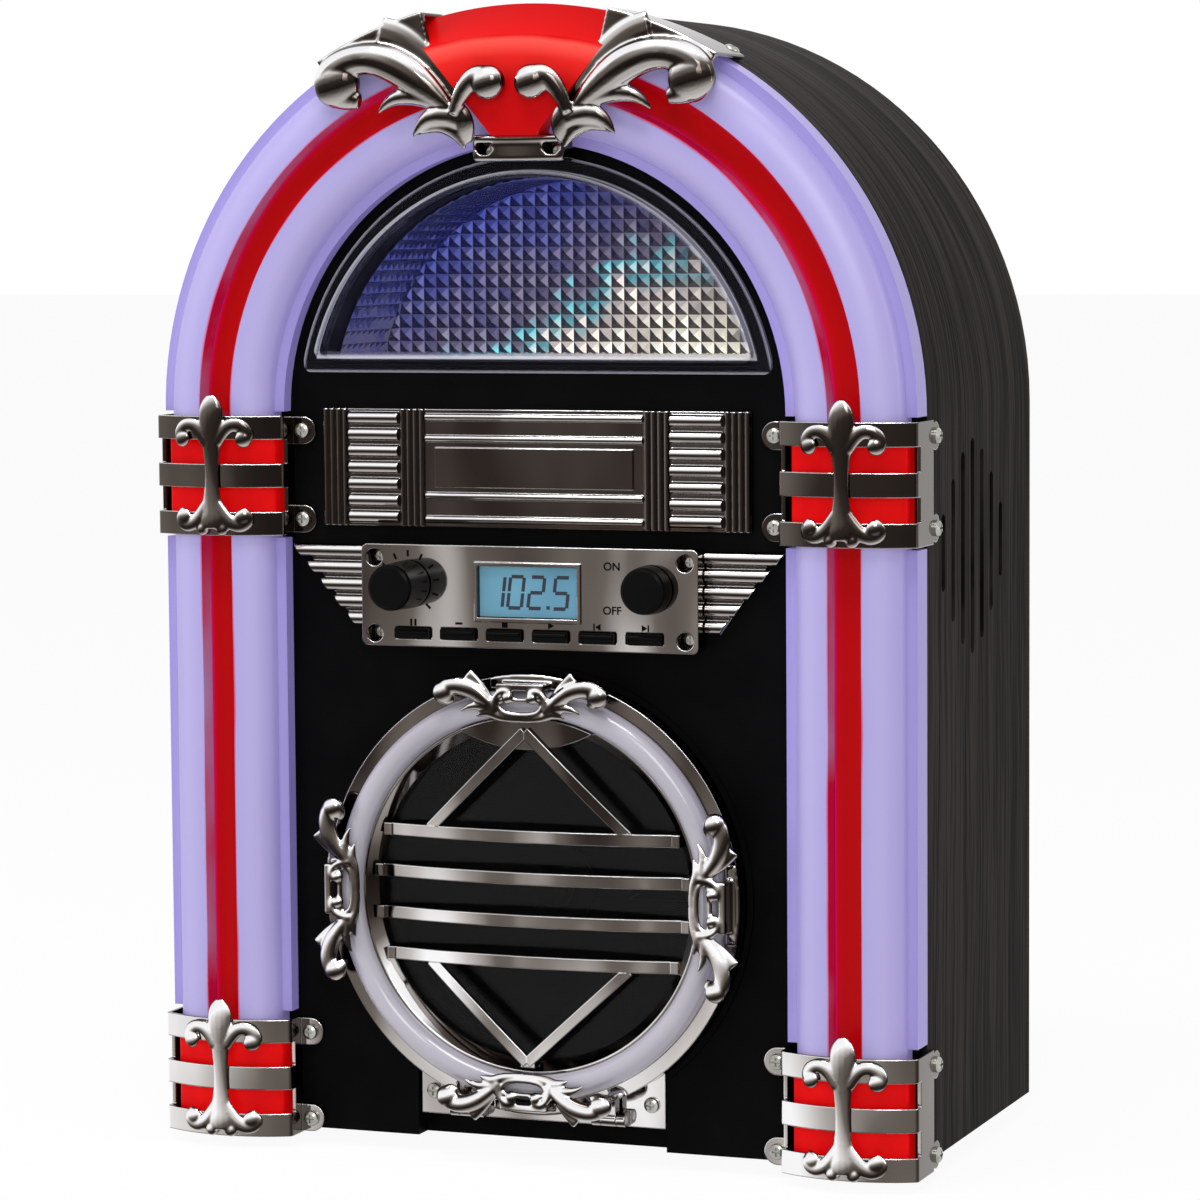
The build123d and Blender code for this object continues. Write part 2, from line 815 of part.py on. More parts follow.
def crest_lens():
    """Red fan over the top of the arch; it clears the tube by a soft gap."""
    top_z = arch_centre_z + crest_lens_top
    wedge = crest_wedge(crest_lens_bottom_half, crest_lens_top_half, crest_lens_base_z, top_z)
    lens = crest_envelope(crest_lens_top, crest_lens_front) & slab(wedge, -40, 10)
    full = tube_sketch(-soft_gap)
    full += flat_section(-tube_half, tube_half + fit_gap, -tube_shoulder - soft_gap, 10)
    groove = flat_section(-strip_width, strip_width, -tube_crown - soft_gap, 0)
    return lens - along_arch(full + groove, 50, 80)


def crest_half():
    """Right half of the ornament, as drawn: strut, curl, leaves, ribbon and scroll."""
    back = -tube_crown - soft_gap
    front = -crest_scroll_front
    strut = make_face(Polyline((9.0, 341), (16.3, 336), (24, 345), (28, 351), (22, 352), close=True))
    half = slab(strut, front + 3, back)
    curl = SlotArc(ThreePointArc((17.5, 349), (14.5, 360.5), (8.2, 362.2)), 3.6)
    half += slab(curl, front + 1, back)
    half += Pos(7.4, -16.6, 358.8) * Sphere(4.3)
    leaf = make_face([
        Spline((20, 345), (28, 351), (36, 342.5)),
        Spline((36, 342.5), (27, 344.5), (16.5, 337.0)),
        Line((16.5, 337.0), (20, 345)),
    ])
    half += slab(leaf, front + 4, back)
    second = make_face([
        Spline((24, 348), (36, 357.5), (50, 351.5)),
        Spline((50, 351.5), (38, 352.5), (26, 346.5)),
        Line((26, 346.5), (24, 348)),
    ])
    half += slab(second, front + 3, back)
    ribbon = make_face(Polyline((21, 349), (27, 347.5), (51, 376), (44, 380.5), (36.5, 373), close=True))
    half += slab(ribbon, front, back)
    scroll = SlotArc(ThreePointArc((27, 351), (52, 371.5), (crest_bulb_x + 2.0, 361)), 9.0)
    half += slab(scroll, front + 1, back)
    half += Pos(crest_bulb_x, -16.6, crest_bulb_z) * Sphere(crest_bulb_radius)
    share = tube_mid / crest_drawn_radius
    return Pos(0, 0, arch_centre_z - crest_drawn_centre * share) * scale(half, by=share)


def crest_ornament():
    half = crest_half()
    bar_back = -dome_flange_thickness - soft_gap
    half += block(-0.01, crest_bar_half, -crest_bar_front, bar_back, crest_bar_bottom_z, crest_bar_top_z)
    half += block(-0.01, crest_bar_half, bar_back, 0, crest_bar_foot_z, crest_bar_top_z)
    riser_front = -crest_scroll_front + 3
    half += block(9.2, crest_bar_half, riser_front, -crest_bar_front, crest_bar_foot_z + 1, crest_bar_top_z)
    over = along_arch(flat_section(tube_half + 0.15, tube_half + 1.6, -tube_crown - 3, clip_side_back),
                      crest_ear_angle - 3.2, 13.0)
    brace = along_arch(flat_section(2.0, tube_half + 1.6, -tube_crown - 3.4, -tube_crown - soft_gap),
                       crest_ear_angle - 3.2, 9.0)
    half += over + brace
    ear = ear_pose(crest_ear_angle) * rod(0, 0, clip_ear_radius, -1.6, -0.15)
    half += ear
    half -= ear_pose(crest_ear_angle) * rod(0, 0, screw_shank_radius + pilot_gap, -4, 4)
    whole = half + mirrored(half)
    tube_room = tube_sketch(-soft_gap) + flat_section(-tube_half, tube_half, -tube_shoulder - soft_gap, 9)
    whole -= along_arch(tube_room, 40, 100)
    whole -= slab(arch_sketch(cabinet_half_width + 0.1, 100), 0.01, 60)
    whole -= crest_lens_room()
    for x in (crest_screw_x, -crest_screw_x):
        whole -= rod(x, crest_screw_z, screw_head_radius + 0.35, -30, -crest_screw_seat)
        whole -= rod(x, crest_screw_z, screw_shank_radius + pilot_gap, -30, 1)
    return whole


def crest_lens_room():
    """The lens with its gap, cut from the ornament that frames it."""
    top_z = arch_centre_z + crest_lens_top
    gap = 0.2
    wedge = crest_wedge(crest_lens_bottom_half + gap, crest_lens_top_half + gap,
                        crest_lens_base_z - gap, top_z)
    return crest_envelope(crest_lens_top + gap, crest_lens_front + gap) & slab(wedge, -40, 10)


# Dome window and drum
def dome_window():
    rim = dome_rim_inset
    flange = slab(dome_sketch(0) - dome_sketch(rim + dome_wall), -dome_flange_thickness, 0)
    raised = slab(dome_sketch(rim), -dome_rim_front, -dome_flange_thickness)
    raised -= slab(dome_sketch(rim + dome_wall), -dome_rim_front + dome_wall, 0)
    tabs = []
    for angle in (24, 52):
        turn = Pos(0, 0, arch_centre_z) * Rot(0, -angle, 0)
        reach = dome_radius - drum_inset - soft_gap
        tab = turn * block(reach - 1.4, reach, -dome_flange_thickness, drum_front - 2, -4.5, 4.5)
        tab += turn * block(reach - 1.4, reach + 1.2, -dome_flange_thickness, -soft_gap, -4.5, 4.5)
        tabs += [tab, mirrored(tab)]
    return flange + raised + tabs


def dome_drum():
    outer = dome_sketch(drum_inset - 0.8, drum_floor_drop)
    inner = dome_sketch(drum_inset - 0.8 + drum_wall, drum_floor_drop)
    drum = slab(outer, drum_front, drum_back)
    return drum - slab(inner, drum_front, drum_back - drum_wall)


# Title plate with flutes, ribs and a plain middle
def half_round_post(x, z0, z1, radius, base):
    """Upright half-round rib on a base at y = -base."""
    post = Pos(x, -base, (z0 + z1) / 2) * Cylinder(radius, z1 - z0)
    return post & block(x - radius, x + radius, -base - radius, 0, z0, z1)


def half_round_bar(x0, x1, z, radius, base):
    """Level half-round rib on a base at y = -base."""
    bar = cross_rod(-base, z, radius, x0, x1)
    return bar & block(x0, x1, -base - radius, 0, z - radius, z + radius)


def title_plate():
    base = title_base_thickness
    low = title_bottom_z
    high = title_top_z
    plate = block(-title_half_width, title_half_width, -base, 0, low, high)
    outer = title_half_width - flute_count * flute_pitch
    inner = outer - rib_field - flute_count * flute_pitch
    for start in (outer, inner):
        for index in range(flute_count):
            x = start + flute_radius + index * flute_pitch
            post = half_round_post(x, low, high, flute_radius, base)
            plate += post + mirrored(post)
    step = (title_height - 2 * rib_inset) / (rib_count - 1)
    for index in range(rib_count):
        z = low + rib_inset + index * step
        bar = half_round_bar(outer - rib_field + 0.3, outer - 0.7, z, rib_radius, base)
        plate += bar + mirrored(bar)
    for rise in (2.5, 10.5, 30.0, 37.3):
        plate += half_round_bar(0.4 - inner, inner - 0.4, low + rise, 1.2, base)
    plate += block(3.8 - inner, inner - 3.8, -base - 0.8, -base, low + 13.5, low + 27.0)
    return plate


def wing_trim():
    """Five stepped half-round fins on a thin base, right-hand side."""
    start = bezel_half_width + soft_gap
    low_z = fin_top_z - (fin_count - 1) * fin_pitch
    low_tip = fin_top_tip - (fin_count - 1) * fin_tip_step
    outline = Polyline((start, low_z - fin_radius), (low_tip - 3, low_z - fin_radius),
                       (fin_top_tip - 3, fin_top_z + fin_radius), (start, fin_top_z + fin_radius),
                       close=True)
    trim = slab(make_face(outline), -fin_base, 0)
    for index in range(fin_count):
        z = fin_top_z - index * fin_pitch
        tip = fin_top_tip - index * fin_tip_step
        fin = half_round_bar(start, tip, z, fin_radius, fin_base)
        slope = make_face(Polyline((start, z - fin_radius), (tip - 3.2, z - fin_radius),
                                   (tip, z + fin_radius), (start, z + fin_radius), close=True))
        trim += fin & slab(slope, -10, 0)
    return trim


# Control panel: bezel, board, display, knobs and buttons
def button_x(index):
    return (index - (button_count - 1) / 2) * button_pitch


def control_bezel():
    outline = rectangle(-bezel_half_width, bezel_half_width, bezel_bottom_z, bezel_top_z)
    outline = fillet(outline.vertices(), 2.2)
    bezel = slab(outline, -bezel_front, 0)
    hollow = rectangle(-bezel_half_width + bezel_wall, bezel_half_width - bezel_wall,
                       bezel_bottom_z + 1.0, bezel_top_z - 1.0)
    bezel -= slab(hollow, -bezel_front + bezel_wall, 0)
    frame = rectangle(-lcd_half_width - 1.2, lcd_half_width + 1.2, lcd_bottom_z - 1.4, lcd_top_z + 1.3)
    bezel += slab(frame, -bezel_front - 0.8, -bezel_front + bezel_wall)
    for x in (bezel_screw_x, -bezel_screw_x):
        for z in bezel_screw_z:
            bezel += rod(x, z, screw_head_radius + 1.1, -bezel_front + 0.5, 0)
    for x in (stud_x, -stud_x):
        for z in (lcd_bottom_z + stud_radius, lcd_top_z + 1):
            bezel += rod(x, z, stud_radius, -bezel_front + 0.5, board_front)
    cutters = [slab(rectangle(-lcd_half_width, lcd_half_width, lcd_bottom_z, lcd_top_z), -20, 0)]
    for x in (bezel_screw_x, -bezel_screw_x):
        for z in bezel_screw_z:
            cutters.append(rod(x, z, screw_head_radius + 0.3, -20, -1.5))
            cutters.append(rod(x, z, screw_shank_radius + pilot_gap, -20, 1))
    cutters.append(rod(-knob_x, knob_z, shaft_radius + 0.6, -20, 0))
    cutters.append(rod(knob_x, knob_z, plunger_radius + 0.5, -20, 0))
    for index in range(button_count):
        x = button_x(index)
        gap = 0.3
        slot = rectangle(x - button_width / 2 - gap, x + button_width / 2 + gap,
                         button_z - button_height / 2 - gap, button_z + button_height / 2 + gap)
        cutters.append(slab(slot, -20, 0))
    return bezel - cutters


def push_button(index):
    x = button_x(index)
    inner = -bezel_front + bezel_wall + soft_gap
    cap = rectangle(x - button_width / 2, x + button_width / 2,
                    button_z - button_height / 2, button_z + button_height / 2)
    cap = fillet(cap.vertices(), 0.6)
    flange = rectangle(x - 7.6, x + 7.6, button_z - 2.7, button_z + 2.7)
    body = slab(cap, -bezel_front - button_reach, inner) + slab(flange, inner, inner + 1.0)
    ridge = cross_rod(-bezel_front - button_reach, button_z + 0.5, 0.7, x - 5.9, x + 5.9)
    stem = rod(x, button_z, 1.2, inner + 1.0, switch_face() - button_travel - 0.2)
    return body + ridge + stem


def switch_face():
    """Front of the small switches on the board."""
    return board_front - 0.8


def control_board():
    low = bezel_bottom_z + 2.6
    high = bezel_top_z - 3.0
    board = block(-board_half, board_half, board_front, board_front + board_thickness, low, high)
    solids = [board]
    for index in range(button_count):
        x = button_x(index)
        solids.append(block(x - 2, x + 2, switch_face(), board_front, button_z - 1.8, button_z + 2))
    return solids


def display_glass():
    """Cover glass of the display, just inside the bezel's window."""
    margin = 0.25
    front = -bezel_front + 1.0
    return block(-lcd_half_width + margin, lcd_half_width - margin, front, front + 0.8,
                 lcd_bottom_z + margin, lcd_top_z - margin)


def display_block():
    """Backlit display between the board and its glass."""
    margin = 0.25
    front = -bezel_front + 1.8
    return block(-lcd_half_width + margin, lcd_half_width - margin, front, board_front,
                 lcd_bottom_z + margin, lcd_top_z - margin)


def volume_pot():
    front = -bezel_front + bezel_wall + soft_gap
    body = block(-knob_x - 6.5, -knob_x + 6.5, front, board_front, knob_z - 6.5, knob_z + 6.5)
    body += rod(-knob_x, knob_z, shaft_radius + 0.5, -bezel_front - 0.3, -6)
    return body - rod(-knob_x, knob_z, shaft_radius + shaft_gap, -20, board_front - 0.6)


def turned_knob(x, reach, shaft, shaft_back):
    """Round cap with a rounded front edge and a shallow skirt, and its shaft."""
    rear = -bezel_front - knob_standoff
    front = -bezel_front - reach
    profile = [
        (0, front), (knob_radius - 1.6, front), (knob_radius - 0.7, front + 0.5),
        (knob_radius - 0.35, front + 1.6), (knob_radius, rear - 1.4),
        (knob_radius, rear), (shaft, rear), (shaft, shaft_back), (0, shaft_back),
    ]
    return turned(profile, x, knob_z)


def light_switch():
    front = -bezel_front + bezel_wall + soft_gap
    body = block(knob_x - 5, knob_x + 5, front, board_front, knob_z - 5, knob_z + 5)
    return body - rod(knob_x, knob_z, plunger_radius + shaft_gap, -20, board_front - 0.8)


# Disc door: chromed ring, milky ring, bars, sight glass, ornaments and pin
def door_ring():
    rim = -door_depth
    profile = [
        (door_radius, -0.5), (door_radius, rim), (ring_outer + 0.1, rim), (ring_outer + 0.1, -web_front),
        (ring_inner - 0.1, -web_front), (ring_inner - 0.1, grille_rim - lip_front),
        (ring_inner - 1.0, grille_rim - lip_front), (sight_radius, grille_rim - lip_back),
        (sight_radius, -web_back), (door_radius - door_wall, -web_back),
        (door_radius - door_wall, -0.5),
    ]
    ring = turned(profile, 0, door_z)
    hook = block(-hook_half_width, hook_half_width, -web_back, hook_reach,
                 latch_z - hook_half_height, latch_z + hook_half_height)
    ring += hook
    for x in (knuckle_x, -knuckle_x):
        x0 = x - knuckle_width / 2
        x1 = x + knuckle_width / 2
        arm_top = door_z - sqrt(door_radius ** 2 - x ** 2) + 2.5
        ring += block(x0, x1, hinge_y - 1.6, -0.6, hinge_z, arm_top)
        ring += cross_rod(hinge_y, hinge_z, knuckle_radius, x0, x1)
        ring -= cross_rod(hinge_y, hinge_z, pin_radius + pin_gap, x0 - 1, x1 + 1)
    return ring


def door_light_ring():
    """Half-round milky ring that sits in the door ring's channel."""
    middle = (ring_inner + ring_outer) / 2
    half = (ring_outer - ring_inner) / 2
    seat = -web_front - 4.4
    arc = EllipticalCenterArc((middle, seat), half, ring_front + seat, start_angle=180, arc_size=180)
    lines = [
        Line((middle - half, -web_front), (middle - half, seat)), arc,
        Line((middle + half, seat), (middle + half, -web_front)),
        Line((middle + half, -web_front), (middle - half, -web_front)),
    ]
    return Pos(0, 0, door_z) * revolve(make_face(lines), Axis.Y, 360)


def bowed_strip(x0, x1, half_height, depth):
    """Bar across the door, bowed forward in the middle."""
    reach = grille_half
    arc = ThreePointArc((-reach, -6.2), (0, -6.2 - grille_bow), (reach, -6.2))
    back = ThreePointArc((reach, -6.2 + depth), (0, -6.2 + depth - grille_bow), (-reach, -6.2 + depth))
    face = make_face([arc, Line((reach, -6.2), (reach, -6.2 + depth)), back,
                      Line((-reach, -6.2 + depth), (-reach, -6.2))])
    bar = extrude(face, amount=half_height, both=True)
    return bar & block(x0, x1, -40, 10, -half_height, half_height)


def grille_back(radius):
    """Points of the grille's sloping back, from a radius inwards."""
    return [(radius, grille_rim - lip_front), (ring_inner - 1.0, grille_rim - lip_front),
            (sight_radius, grille_rim - lip_back)]


def door_grille():
    """Rim of the grille, with its finger tab and the foot of the struts."""
    rim_edge = ring_inner - 0.2
    front = [(sight_radius, -lip_back), (ring_inner - 1.0, -lip_front), (rim_edge, -lip_front)]
    body = turned(grille_back(rim_edge) + front, 0, door_z)
    eye = disc_at(0, door_z, ring_inner - 0.4) & disc_at(0, door_z + ring_inner + 39.7, 51.0)
    body += slab(eye, -lip_front - 2.1, 0.3 - lip_front)
    low = door_z - sight_radius
    body += block(-2.5, 2.5, -12.0, -6.5, low - 1.6, low + 1.4)
    return body - turned(grille_back(ring_outer) + [(sight_radius, 0), (ring_outer, 0)], 0, door_z)


def door_bars():
    """Four bowed bars and a diamond of struts between them and the rim."""
    depth = 1.8
    rim = door_grille() + turned(grille_back(ring_outer) + [(sight_radius, 0), (ring_outer, 0)], 0, door_z)
    bars = []
    for offset in grille_offsets:
        z = door_z + offset
        half = sqrt(sight_radius ** 2 - offset ** 2) + 0.6
        bar = Pos(0, 0, z) * bowed_strip(-half, half, grille_bar / 2, depth)
        for x in (half - 1.4, 1.4 - half):
            bar += block(x - 1.4, x + 1.4, -8.2, -4.6, z - grille_bar / 2, z + grille_bar / 2)
        bars.append(bar - rim)
    sheet = Pos(0, 0, door_z) * bowed_strip(-60, 60, 80, depth)
    spans = ((door_z + sight_radius - 0.8, door_z + grille_offsets[0] + 1.2),
             (door_z - sight_radius + 0.2, door_z + grille_offsets[-1] - 1.5))
    struts = []
    for z_end, z_start in spans:
        length = sqrt(strut_foot ** 2 + (z_end - z_start) ** 2)
        nx = (z_end - z_start) / length * strut_width / 2
        nz = strut_foot / length * strut_width / 2
        points = [(strut_foot - nx, z_start - nz), (-nx, z_end - nz), (nx, z_end + nz),
                  (strut_foot + nx, z_start + nz)]
        flat = make_face(Polyline(*points, close=True)) & rectangle(0, 60, 0, 2 * door_z)
        strut = (sheet & slab(flat, -40, 10)) - rim
        for bar in bars:
            strut -= bar
        struts += [strut, mirrored(strut)]
    return bars + struts


def door_window():
    return rod(0, door_z, window_radius, -web_back, -web_back + window_thickness)


def door_scroll(angle):
    """Scrolled ornament on the milky ring, drawn for the top of the door."""
    low = ring_inner - 0.6
    middle = [(-7.4, low), (-4.2, low - 0.6), (4.2, low - 0.6), (7.4, low), (9.2, low + 6.2),
              (5.4, low + 10.6), (-5.4, low + 10.6), (-9.2, low + 6.2)]
    sketch = make_face(Polyline(*middle, close=True))
    sketch -= make_face(Polyline((-4.6, low + 2.2), (4.6, low + 2.2), (5.6, low + 6.4), (3.6, low + 8.8),
                                 (-3.6, low + 8.8), (-5.6, low + 6.4), close=True))
    for side in (1, -1):
        wing = SlotArc(ThreePointArc((side * 7.6, low + 5.6), (side * 17.5, low + 12.4),
                                     (side * 25.2, low + 11.4)), 5.2)
        leaf = SlotArc(ThreePointArc((side * 8.2, low + 5.0), (side * 12.4, low + 11.8),
                                     (side * 18.6, low + 15.8)), 3.4)
        tip = SlotArc(ThreePointArc((side * 6.0, low + 3.2), (side * 13.0, low + 4.0),
                                    (side * 19.6, low + 1.6)), 2.6)
        curl = SlotArc(ThreePointArc((side * 5.6, low + 10.2), (side * 4.4, low + 14.2),
                                     (side * 2.4, low + 12.4)), 1.8)
        sketch += wing + leaf + tip + curl
        sketch += Pos(side * 25.6, low + 10.6) * Circle(4.0)
    body = slab(sketch, -ring_front - 2.6, -ring_front - 0.2)
    foot = block(-8.8, 8.8, -ring_front - 0.2, -door_depth, ring_outer + 0.3, ring_outer + 2.2)
    petal_top = door_radius + petal_reach
    petal = rectangle(-petal_half, petal_half, ring_outer + 0.3, petal_top)
    petal &= disc_at(0, petal_top - petal_radius, petal_radius)
    body += foot + slab(petal, -door_depth - petal_thickness, -door_depth)
    for side in (1, -1):
        body += Pos(side * 25.6, -ring_front - 1.4, low + 10.6) * Sphere(3.6)
    return Pos(0, 0, door_z) * Rot(0, angle, 0) * body


def hinge_plate():
    front = hinge_plate_front
    back = front + hinge_plate_thickness
    plate = block(-hinge_plate_half, hinge_plate_half, front, back, hinge_plate_bottom_z, hinge_plate_top_z)
    for middle in (knuckle_x, -knuckle_x):
        for side in (1, -1):
            inner = middle + side * (knuckle_width / 2 + soft_gap)
            outer = inner + side * lug_width
            x0 = min(inner, outer)
            x1 = max(inner, outer)
            plate += block(x0, x1, hinge_y, front, hinge_z - knuckle_radius, hinge_z + knuckle_radius)
            plate += cross_rod(hinge_y, hinge_z, knuckle_radius, x0, x1)
    for middle in (knuckle_x, -knuckle_x):
        plate -= cross_rod(hinge_y, hinge_z, pin_radius, middle - 8, middle + 8)
    for x in (hinge_screw_x, -hinge_screw_x):
        plate -= pilot(x, hinge_screw_z, -5, 20)
    return plate


def hinge_pins():
    length = knuckle_width / 2 + soft_gap + lug_width
    pins = []
    for middle in (knuckle_x, -knuckle_x):
        pins.append(cross_rod(hinge_y, hinge_z, pin_radius, middle - length, middle + length))
    return pins


# Disc well, chassis and drive
rod_posts = (sled_start - 10.7, sled_start - 6.0 + sled_length + sled_travel + 0.7)
chassis_posts = [(-24.0, -20.0), (-24.0, 44.0), (50.0, -24.0), (20.0, 49.0)]


def disc_well():
    inner = disc_opening()
    outer = inner + well_wall
    floor_back = well_floor_front + well_floor_thickness
    pilot_start = floor_back - 0.8
    cup = turned([(inner, panel_thickness), (well_flange_radius, panel_thickness),
                  (well_flange_radius, panel_thickness + 2), (outer, panel_thickness + 2),
                  (outer, floor_back), (0, floor_back), (0, well_floor_front), (inner, well_floor_front)],
                 0, door_z)
    cup -= rod(0, door_z, 5.6, 10, 40)
    lens_room = 4.6
    slot = rectangle(sled_start - lens_room, sled_start + sled_travel + lens_room,
                     door_z - lens_room, door_z + lens_room)
    cup -= slab(slot, well_floor_front - 1, floor_back + 1)
    keep_out = outer + fit_gap
    reach = well_flange_radius + 1
    cup -= block(-11, 11, panel_thickness, 8, door_z + keep_out, door_z + reach)
    low_corner = block(-reach, reach, 0, 6, 0, hinge_plate_top_z + panel_thickness + 1)
    cup -= low_corner - rod(0, door_z, outer, 0, 8)
    for x, z in chassis_posts:
        post = rod(x, door_z + z, 3.2, floor_back, chassis_front)
        cup = cup + post - rod(x, door_z + z, screw_shank_radius + pilot_gap, pilot_start, chassis_front)
    return cup


def mech_chassis():
    front = chassis_front
    back = front + chassis_thickness
    outline = rectangle(-30, 86, door_z - 30, door_z + 55)
    outline = fillet(outline.vertices(), 4)
    plate = slab(outline, front, back)
    plate -= rod(0, door_z, 4.6, front - 1, back + 1)
    plate -= rod(gear_x, door_z + gear_z(), spindle_radius + 0.05, front - 1, back + 1)
    plate -= rod(gear_x, door_z + motor_z(), 3.0, front - 1, back + 1)
    for x, z in chassis_posts:
        plate -= rod(x, door_z + z, screw_shank_radius + pilot_gap, front - 1, back + 1)
    for x0 in rod_posts:
        for side in (1, -1):
            middle = side * rod_offset
            post = block(x0, x0 + 4, rod_y - 2.2, front, door_z + middle - 2.2, door_z + middle + 2.2)
            post -= cross_rod(rod_y, door_z + middle, rod_radius, x0 - 1, x0 + 5)
            plate += post
    return plate


def guide_rods():
    rods = []
    for side in (1, -1):
        z = door_z + side * rod_offset
        rods.append(cross_rod(rod_y, z, rod_radius, rod_posts[0], rod_posts[1] + 4))
    return rods


def gear_z():
    return rack_line + tooth_module * pinion_teeth / 2


def motor_z():
    return gear_z() + tooth_module * (wheel_teeth + motor_teeth) / 2


def spindle_motor():
    back = chassis_front + chassis_thickness
    body = rod(0, door_z, motor_radius, back, back + motor_length)
    body += rod(0, door_z, 4.5, chassis_front - 2, back)
    return body - rod(0, door_z, spindle_radius + shaft_gap, chassis_front - 3, back + motor_length - 2)


def disc_hub():
    seat = disc_front + disc_thickness
    nose = disc_front - hub_nose_reach
    tail = chassis_front + chassis_thickness + motor_length - 3
    profile = [
        (0, nose), (hub_nose_radius - 1.4, nose), (hub_nose_radius, disc_front), (hub_nose_radius, seat),
        (hub_radius, seat), (hub_radius, seat + 2.4), (4.0, seat + 2.4), (4.0, well_floor_front + 1),
        (spindle_radius, well_floor_front + 1), (spindle_radius, tail), (0, tail),
    ]
    return turned(profile, 0, door_z)


def rack_profile(length_left, length_right):
    """Toothed edge, teeth up; a gap is centred under the pinion."""
    pitch = pi * tooth_module
    tip = 0.75 * tooth_module
    root = -tooth_module
    slope = tan(radians(20))
    points = [(-length_left, root - 1.6), (length_right, root - 1.6), (length_right, root)]
    teeth = []
    index = 0
    while (index + 1) * pitch < length_left:
        teeth.append(-(index + 0.5) * pitch)
        index += 1
    teeth.append(pitch / 2)
    half = pitch / 4 - gear_backlash / 2
    for middle in sorted(teeth, reverse=True):
        points.append((middle + half - root * slope, root))
        points.append((middle + half - tip * slope, tip))
        points.append((middle - half + tip * slope, tip))
        points.append((middle - half + root * slope, root))
    points.append((-length_left, root))
    return make_face(Polyline(*points, close=True))


def pickup_sled():
    x0 = sled_start - 6.0
    x1 = x0 + sled_length
    front = well_floor_front + well_floor_thickness + 0.6
    body = block(x0, x1, front, chassis_front - 0.4, door_z - sled_half, door_z + sled_half)
    for side in (1, -1):
        middle = side * rod_offset
        edge = 3.0
        low = min(side * sled_half, side * (rod_offset + edge))
        high = max(side * sled_half, side * (rod_offset + edge))
        lug = block(x0, x1, front, chassis_front - 0.4, door_z + low, door_z + high)
        lug -= cross_rod(rod_y, door_z + middle, rod_radius + rod_gap, x0 - 1, x1 + 1)
        body += lug
    rack_front = front
    rack_back = front + 2.2
    rack_low = rack_line - tooth_module - 1.6
    arm = block(x0, x1, rack_front, rack_back, door_z + rod_offset + 3.0, door_z + rack_low + 0.2)
    rack = rack_profile(sled_travel + 4.0, 4.0)
    body += arm + slab(Pos(gear_x, door_z + rack_line) * rack, rack_front, rack_back)
    tower = rod(sled_start, door_z, 4.0, 15.6, front + 0.5)
    return body + tower


def pickup_lens():
    return rod(sled_start, door_z, 2.6, 15.0, 15.6)


def drive_gear():
    front = well_floor_front + well_floor_thickness + 0.6
    pinion = Pos(gear_x, door_z + gear_z()) * gear_sketch(pinion_teeth, -90)
    wheel = Pos(gear_x, door_z + gear_z()) * gear_sketch(wheel_teeth, 90)
    body = slab(pinion, front, front + 2.6) + slab(wheel, front + 2.6, front + 4.8)
    pin_back = chassis_front + chassis_thickness + 1
    return body + rod(gear_x, door_z + gear_z(), spindle_radius, front, pin_back)


def sled_motor():
    back = chassis_front + chassis_thickness
    body = rod(gear_x, door_z + motor_z(), 8.0, back, back + 12)
    return body - rod(gear_x, door_z + motor_z(), spindle_radius + shaft_gap, back - 1, back + 10)


def motor_pinion():
    front = well_floor_front + well_floor_thickness + 0.6
    phase = -90 + 180 / motor_teeth
    pinion = Pos(gear_x, door_z + motor_z()) * gear_sketch(motor_teeth, phase)
    body = slab(pinion, front + 2.4, front + 5.0)
    tail = chassis_front + chassis_thickness + 9
    return body + rod(gear_x, door_z + motor_z(), spindle_radius, front + 5.0, tail)


# Touch latch above the well
def latch_housing():
    low = door_z + disc_opening() + well_wall + fit_gap
    body = block(-8, 8, latch_front, latch_front + latch_depth, low, latch_z + 5.5)
    body += block(-15, 15, panel_thickness, panel_thickness + 2, latch_z + 4.0, latch_z + 11)
    body += block(-8, 8, panel_thickness + 2, latch_front, latch_z + 4.0, latch_z + 5.5)
    gap = shaft_gap
    body -= block(-latch_head - gap, latch_head + gap, latch_front - 1, latch_front + latch_depth - 2,
                  latch_z - latch_head - gap, latch_z + latch_head + gap)
    return body


def latch_plunger():
    back = latch_front + latch_depth - 2 - latch_travel - 0.5
    return block(-latch_head, latch_head, hook_reach + 0.3, back,
                 latch_z - latch_head, latch_z + latch_head)


# Loudspeakers, drawn for the right side
def speaker_turned(profile):
    """Turn (radius, distance in from the wall) points about the speaker's axis."""
    face = make_face(Polyline(*profile, close=True))
    body = revolve(face, Axis.Y, 360)
    wall_x = cabinet_half_width - wall
    return Pos(wall_x, speaker_y, speaker_z) * Rot(0, 0, 90) * body


def speaker_frame():
    edge = cone_radius + cone_gap
    magnet_front = cone_depth + 7.5
    profile = [
        (edge, 0), (speaker_radius, 0), (speaker_radius, speaker_plate), (edge + 4.5, speaker_plate),
        (magnet_radius - 1, magnet_front), (magnet_radius, magnet_front), (magnet_radius, magnet_front + 12),
        (0, magnet_front + 12), (0, magnet_front + 8), (coil_radius + 1.6, magnet_front + 8),
        (coil_radius + 1.6, magnet_front), (magnet_radius - 2.6, magnet_front),
        (edge + 2.6, speaker_plate + 1.5), (edge, speaker_plate + 1.0),
    ]
    frame = speaker_turned(profile)
    pole = speaker_turned([(0, magnet_front), (coil_radius - 0.9, magnet_front),
                           (coil_radius - 0.9, magnet_front + 8.2), (0, magnet_front + 8.2)])
    frame += pole
    for y, z in speaker_screw_places():
        hole = Pos(cabinet_half_width - wall, y, z) * Rot(0, 90, 0)
        frame -= hole * Cylinder(screw_shank_radius + pilot_gap, 20)
    return frame


